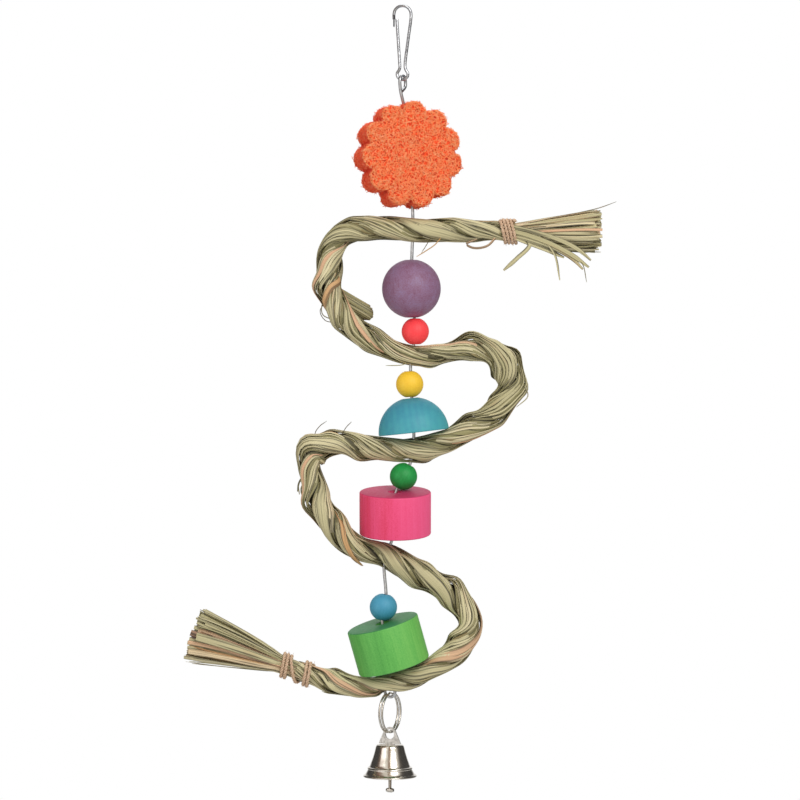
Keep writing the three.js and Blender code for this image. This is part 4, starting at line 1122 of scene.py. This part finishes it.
def free_leaf(leaves, points, width, tone, side=None):
    """A leaf through points that are clear of the rope, facing the viewer unless its side is given."""
    route = evenly(smooth_route(points, 8), 1.0)
    last = len(route) - 1
    side = side or Vector((0, -1, 0)).cross(route[-1] - route[0]).normalized()
    out = [heading(route, row).normalized().cross(side).normalized() for row in range(last + 1)]
    widths = [width * min(1, 0.45 + 3 * (last - row) / last) for row in range(last + 1)]
    leaves.add(route, out, widths, min(0.3, width * 0.6), tone)


def loose_leaves():
    """Leaves that cross the strands, stand off the rope or fold out of its first bend."""
    dice = random.Random(17)
    leaves = LeafBundle()
    for stations, width, tone in CROSSING_LEAVES:
        route = evenly(smooth_route([round_rope(*station)[0] for station in stations], 8), 1.0)
        out = []
        for at in route:
            nearest = min(rope_points, key=lambda middle: (middle - at).length)
            out.append((at - nearest).normalized())
        widths = [width * min(1, 0.5 + 4 * (len(route) - row) / len(route)) for row in range(len(route))]
        leaves.add(route, out, widths, thickness=0.32, tone=tone, cup=0.06)
    for points, width, tone in LOOSE_LEAVES:
        free_leaf(leaves, [Vector(at) for at in points], width, tone)
    fold_route = (
        (-34, 3, -146.5), (-28.5, 2.5, -149.6), (-21.5, 2.5, -153.7), (-16.6, 3.2, -156.5),
        (-15, 4.6, -157.5), (-17, 6.2, -157.2), (-23, 6, -156.6), (-31, 4, -157),
    )
    fold_side = Vector((0.45, 0, 0.89))
    fold_leaves = 10
    for leaf in range(fold_leaves):
        off = (leaf - (fold_leaves - 1) / 2) * 0.8
        back = 0.26 * off ** 2 + dice.uniform(-0.4, 0.4)
        deeper = 0.05 * off ** 2 + dice.uniform(-0.2, 0.2)
        push = fold_side * off + Vector((-0.87 * back, deeper, 0.5 * back))
        points = [Vector(at) + push for at in fold_route]
        free_leaf(leaves, points, dice.uniform(1.0, 1.5), dice.uniform(0.15, 0.36), fold_side)
    keep(leaves.object("grass_rope_loose_leaves", seagrass), "spine", "grass")


rope_core()
for strand in range(3):
    grass_strand(strand, 11 + strand)
loose_leaves()


# Brush ends and their twine bindings

def rope_end(last):
    """Frame at an end of the rope, with Z along the rope and out of it."""
    at, before = (rope_points[-1], rope_points[-2]) if last else (rope_points[0], rope_points[1])
    turn = UP.rotation_difference((at - before).normalized())
    return Matrix.Translation(at) @ turn.to_matrix().to_4x4()


RIGHT_END = rope_end(False)
LEFT_END = rope_end(True)


def brush_end(name, node, place, bands, seed, count, length, radius, bound, slant, rise, widest):
    """Cut leaves that leave the binding as a tight bundle and spread to a ragged end, toned by height."""
    dice = random.Random(seed)
    leaves = LeafBundle()
    rows = 12
    inside, tied, bowed = 5, 4.2, 1.1
    spread_power, droop_power = 0.85, 1.5
    golden = math.pi * (3 - math.sqrt(5))
    turn = place.to_3x3()
    for leaf in range(count):
        share = math.sqrt((leaf + 0.5) / count)
        angle = leaf * golden + dice.uniform(-0.2, 0.2)
        ray = Vector((math.cos(angle), math.sin(angle), 0))
        spread = radius * share * dice.uniform(0.82, 1.04)
        reach = length * dice.uniform(0.9, 1.0) + slant * spread * ray.x
        bow = Vector((dice.gauss(0, 1), dice.gauss(0, 1), 0)) * bowed
        facing = angle + dice.gauss(0, 0.4)
        width = dice.uniform(0.45, 1) * widest
        out_ray = Vector((math.cos(facing), math.sin(facing), 0))
        middle, out, widths = [], [], []
        for row in range(rows + 1):
            z = -inside + (reach + inside) * row / rows
            free = max(0, (z - bound) / (length - bound))
            sideways = ray * (tied * share + (spread - tied * share) * free ** spread_power)
            sideways += bow * math.sin(math.pi * min(1, free)) * free
            middle.append(place @ (sideways + UP * z) + UP * rise * free ** droop_power)
            out.append(turn @ out_ray)
            widths.append(width * min(1, 0.7 + free))
        height = (turn @ ray).z * share
        tones = next(tones for lowest, tones in bands if height >= lowest)
        tone = dice.choice(tones) + dice.uniform(-0.03, 0.03)
        leaves.add(middle, out, widths, thickness=0.36, tone=tone, cup=dice.uniform(0.02, 0.12))
    keep(leaves.object(name, seagrass), "spine", "grass", node)


def twine_route(place, stages, start_z, start_angle, tail, slant):
    """Slanted helix of twine round the rope's end, in stages of turns and pitch, with a straight tail."""
    radius = 5.85
    z, angle = start_z, start_angle
    points = []
    for turns, pitch in stages:
        steps = round(turns * 40)
        for step in range(steps):
            x, y = radius * math.cos(angle), radius * math.sin(angle)
            points.append(Vector((x, y, z + slant * math.cos(angle))))
            angle += 2 * math.pi * turns / steps
            z += pitch * turns / steps
    leave = (points[-1] - points[-2]).normalized()
    points += [points[-1] + leave * tail * share for share in (0.25, 0.5, 0.75, 1)]
    return [place @ at for at in points]


def twine_binding(name, node, route, seed):
    """Two-ply jute: each ply winds round the twine's own line, with short fibres standing off it."""
    dice = random.Random(seed)
    ply_turn, ply_offset, ply_size = 3.4, 0.4, 1.02
    spacing, fuzzy_share, fuzz_size = 0.45, 0.45, 0.14
    line = evenly(route, spacing)
    plies = [[], []]
    fuzz = []
    for step, at in enumerate(line):
        tangent = heading(line, step).normalized()
        side = UP.cross(tangent) if abs(tangent.z) < 0.95 else tangent.orthogonal()
        side.normalize()
        other = tangent.cross(side)
        for ply in (0, 1):
            turn = 2 * math.pi * step * spacing / ply_turn + math.pi * ply
            plies[ply].append(at + swung(side, other, turn) * ply_offset)
        if dice.random() < fuzzy_share:
            away = any_way(dice).normalized()
            root = at + away * 0.5
            tip = root + away * dice.uniform(0.5, 1.4) + tangent * dice.uniform(-1.5, 1.5)
            fuzz.append([root, root.lerp(tip, 0.5) + away * 0.2, tip])
    keep(wire_object(name, plies, ply_size, jute, 2), "spine", "jute", node)
    keep(wire_object(f"{name}_fuzz", fuzz, fuzz_size, jute, 0), "spine", "jute")


# Tones of the brush leaves, from the top of each brush down: lowest height they reach and tones
RIGHT_BANDS = (
    (0.3, (0.4, 0.5, 0.66, 0.7, 0.76)),
    (-0.2, (0.44, 0.56, 0.68, 0.72, 0.77, 0.8)),
    (-2, (0.32, 0.4, 0.46, 0.6, 0.7)),
)
LEFT_BANDS = (
    (0.36, (0.28, 0.34, 0.4, 0.46, 0.52)),
    (0.14, (0.8, 0.82, 0.45, 0.4)),
    (-0.06, (1.0, 0.97, 0.7, 0.8, 0.5)),
    (-0.3, (0.36, 0.46, 0.56, 0.8)),
    (-2, (0.6, 0.68, 0.72, 0.76, 0.88)),
)
brush_end(
    "right_brush_leaves", "right_brush_end", RIGHT_END, RIGHT_BANDS, seed=21, count=190,
    length=47.3, radius=11.9, bound=4, slant=0.02, rise=2.2, widest=2.6,
)
brush_end(
    "left_brush_leaves", "left_brush_end", LEFT_END, LEFT_BANDS, seed=22, count=220,
    length=57.3, radius=15.4, bound=9, slant=0.05, rise=-2.2, widest=3.4,
)
twine_binding(
    "right_twine_plies", "right_twine_binding",
    twine_route(RIGHT_END, ((4, 1.8),), -3.6, math.radians(200), 4, 1.2), 31,
)
twine_binding(
    "left_twine_plies", "left_twine_binding",
    twine_route(LEFT_END, ((2.3, 1.85), (0.5, 15), (2.3, 1.85)), -8.2, math.radians(20), 4, 0.6), 32,
)


# Loofah slice

def loofah_reach(angle):
    """Radius of the flower outline at an angle."""
    pitch = 2 * math.pi / LOBES
    off = (angle - LOBE_PHASE + pitch / 2) % pitch - pitch / 2
    ring = LOOFAH_RADIUS - LOBE_RADIUS
    return ring * math.cos(off) + math.sqrt(max(0, LOBE_RADIUS ** 2 - (ring * math.sin(off)) ** 2))


def loofah_slice():
    """A thick flower-shaped slab with an uneven felted skin, covered in short fibres."""
    dice = random.Random(41)
    skin_depth, rim_ease, mesh_step = 0.3, 0.6, 0.7
    coarse_bumps, fine_bumps = 0.35, 0.16
    fibre_count, fibre_size, tuft_share = 8400, 0.3, 0.14
    place = (
        Matrix.Translation(LOOFAH_CENTRE)
        @ Matrix.Rotation(LOOFAH_LEAN, 4, "Y")
        @ Matrix.Rotation(LOOFAH_TURN, 4, "Z")
    )
    bm = bmesh.new()
    made = bmesh.ops.create_circle(bm, cap_ends=True, segments=LOBES * 16, radius=1)
    for vert in made["verts"]:
        angle = math.atan2(vert.co.y, vert.co.x)
        reach = loofah_reach(angle) - skin_depth
        vert.co = Vector((reach * math.cos(angle), LOOFAH_THICKNESS / 2, reach * math.sin(angle)))
    grown = bmesh.ops.extrude_face_region(bm, geom=bm.faces[:])
    lifted = [part for part in grown["geom"] if isinstance(part, bmesh.types.BMVert)]
    bmesh.ops.translate(bm, verts=lifted, vec=(0, -LOOFAH_THICKNESS, 0))
    bmesh.ops.recalc_face_normals(bm, faces=bm.faces)
    rims = [edge for edge in bm.edges if abs(edge.verts[0].co.y - edge.verts[1].co.y) < 0.1]
    bmesh.ops.bevel(bm, geom=rims, offset=rim_ease, segments=2, affect="EDGES", profile=0.5, material=-1)
    slab = mesh_object("loofah_block", bm, loofah_felt)
    scene.collection.objects.link(slab)
    remesh = slab.modifiers.new("even_skin", "REMESH")
    remesh.mode = "VOXEL"
    remesh.voxel_size = mesh_step * METRES
    even = bpy.data.meshes.new_from_object(slab.evaluated_get(bpy.context.evaluated_depsgraph_get()))
    bpy.data.objects.remove(slab)

    bm = bmesh.new()
    bm.from_mesh(even)
    bmesh.ops.scale(bm, vec=(1 / METRES, 1 / METRES, 1 / METRES), verts=bm.verts)
    bm.normal_update()
    for vert in bm.verts:
        coarse = noise.fractal(vert.co * 0.28, 1.0, 2.0, 3)
        fine = noise.noise(vert.co * 1.1)
        vert.co += vert.normal * (coarse_bumps * coarse + fine_bumps * fine)
    bm.normal_update()
    fibres = []
    for vert in dice.sample(bm.verts[:], fibre_count):
        lean = any_way(dice)
        flat = (lean - vert.normal * lean.dot(vert.normal)).normalized()
        half = flat * dice.uniform(0.8, 1.8)
        curl = vert.normal.cross(flat) * dice.uniform(-0.5, 0.5)
        rise = vert.normal * dice.uniform(0.25, 0.7)
        tip = vert.normal * (dice.uniform(0.6, 1.5) if dice.random() < tuft_share else -0.1)
        fibre = [vert.co - half - vert.normal * 0.1, vert.co + rise + curl, vert.co + half + tip]
        fibres.append([place @ at for at in fibre])
    keep(mesh_object("loofah_skin", bm, loofah_felt, place), "loofah", "loofah", "loofah_slice")
    keep(wire_object("loofah_fibres", fibres, fibre_size, loofah_fibre, 0), "loofah", "loofah")


loofah_slice()
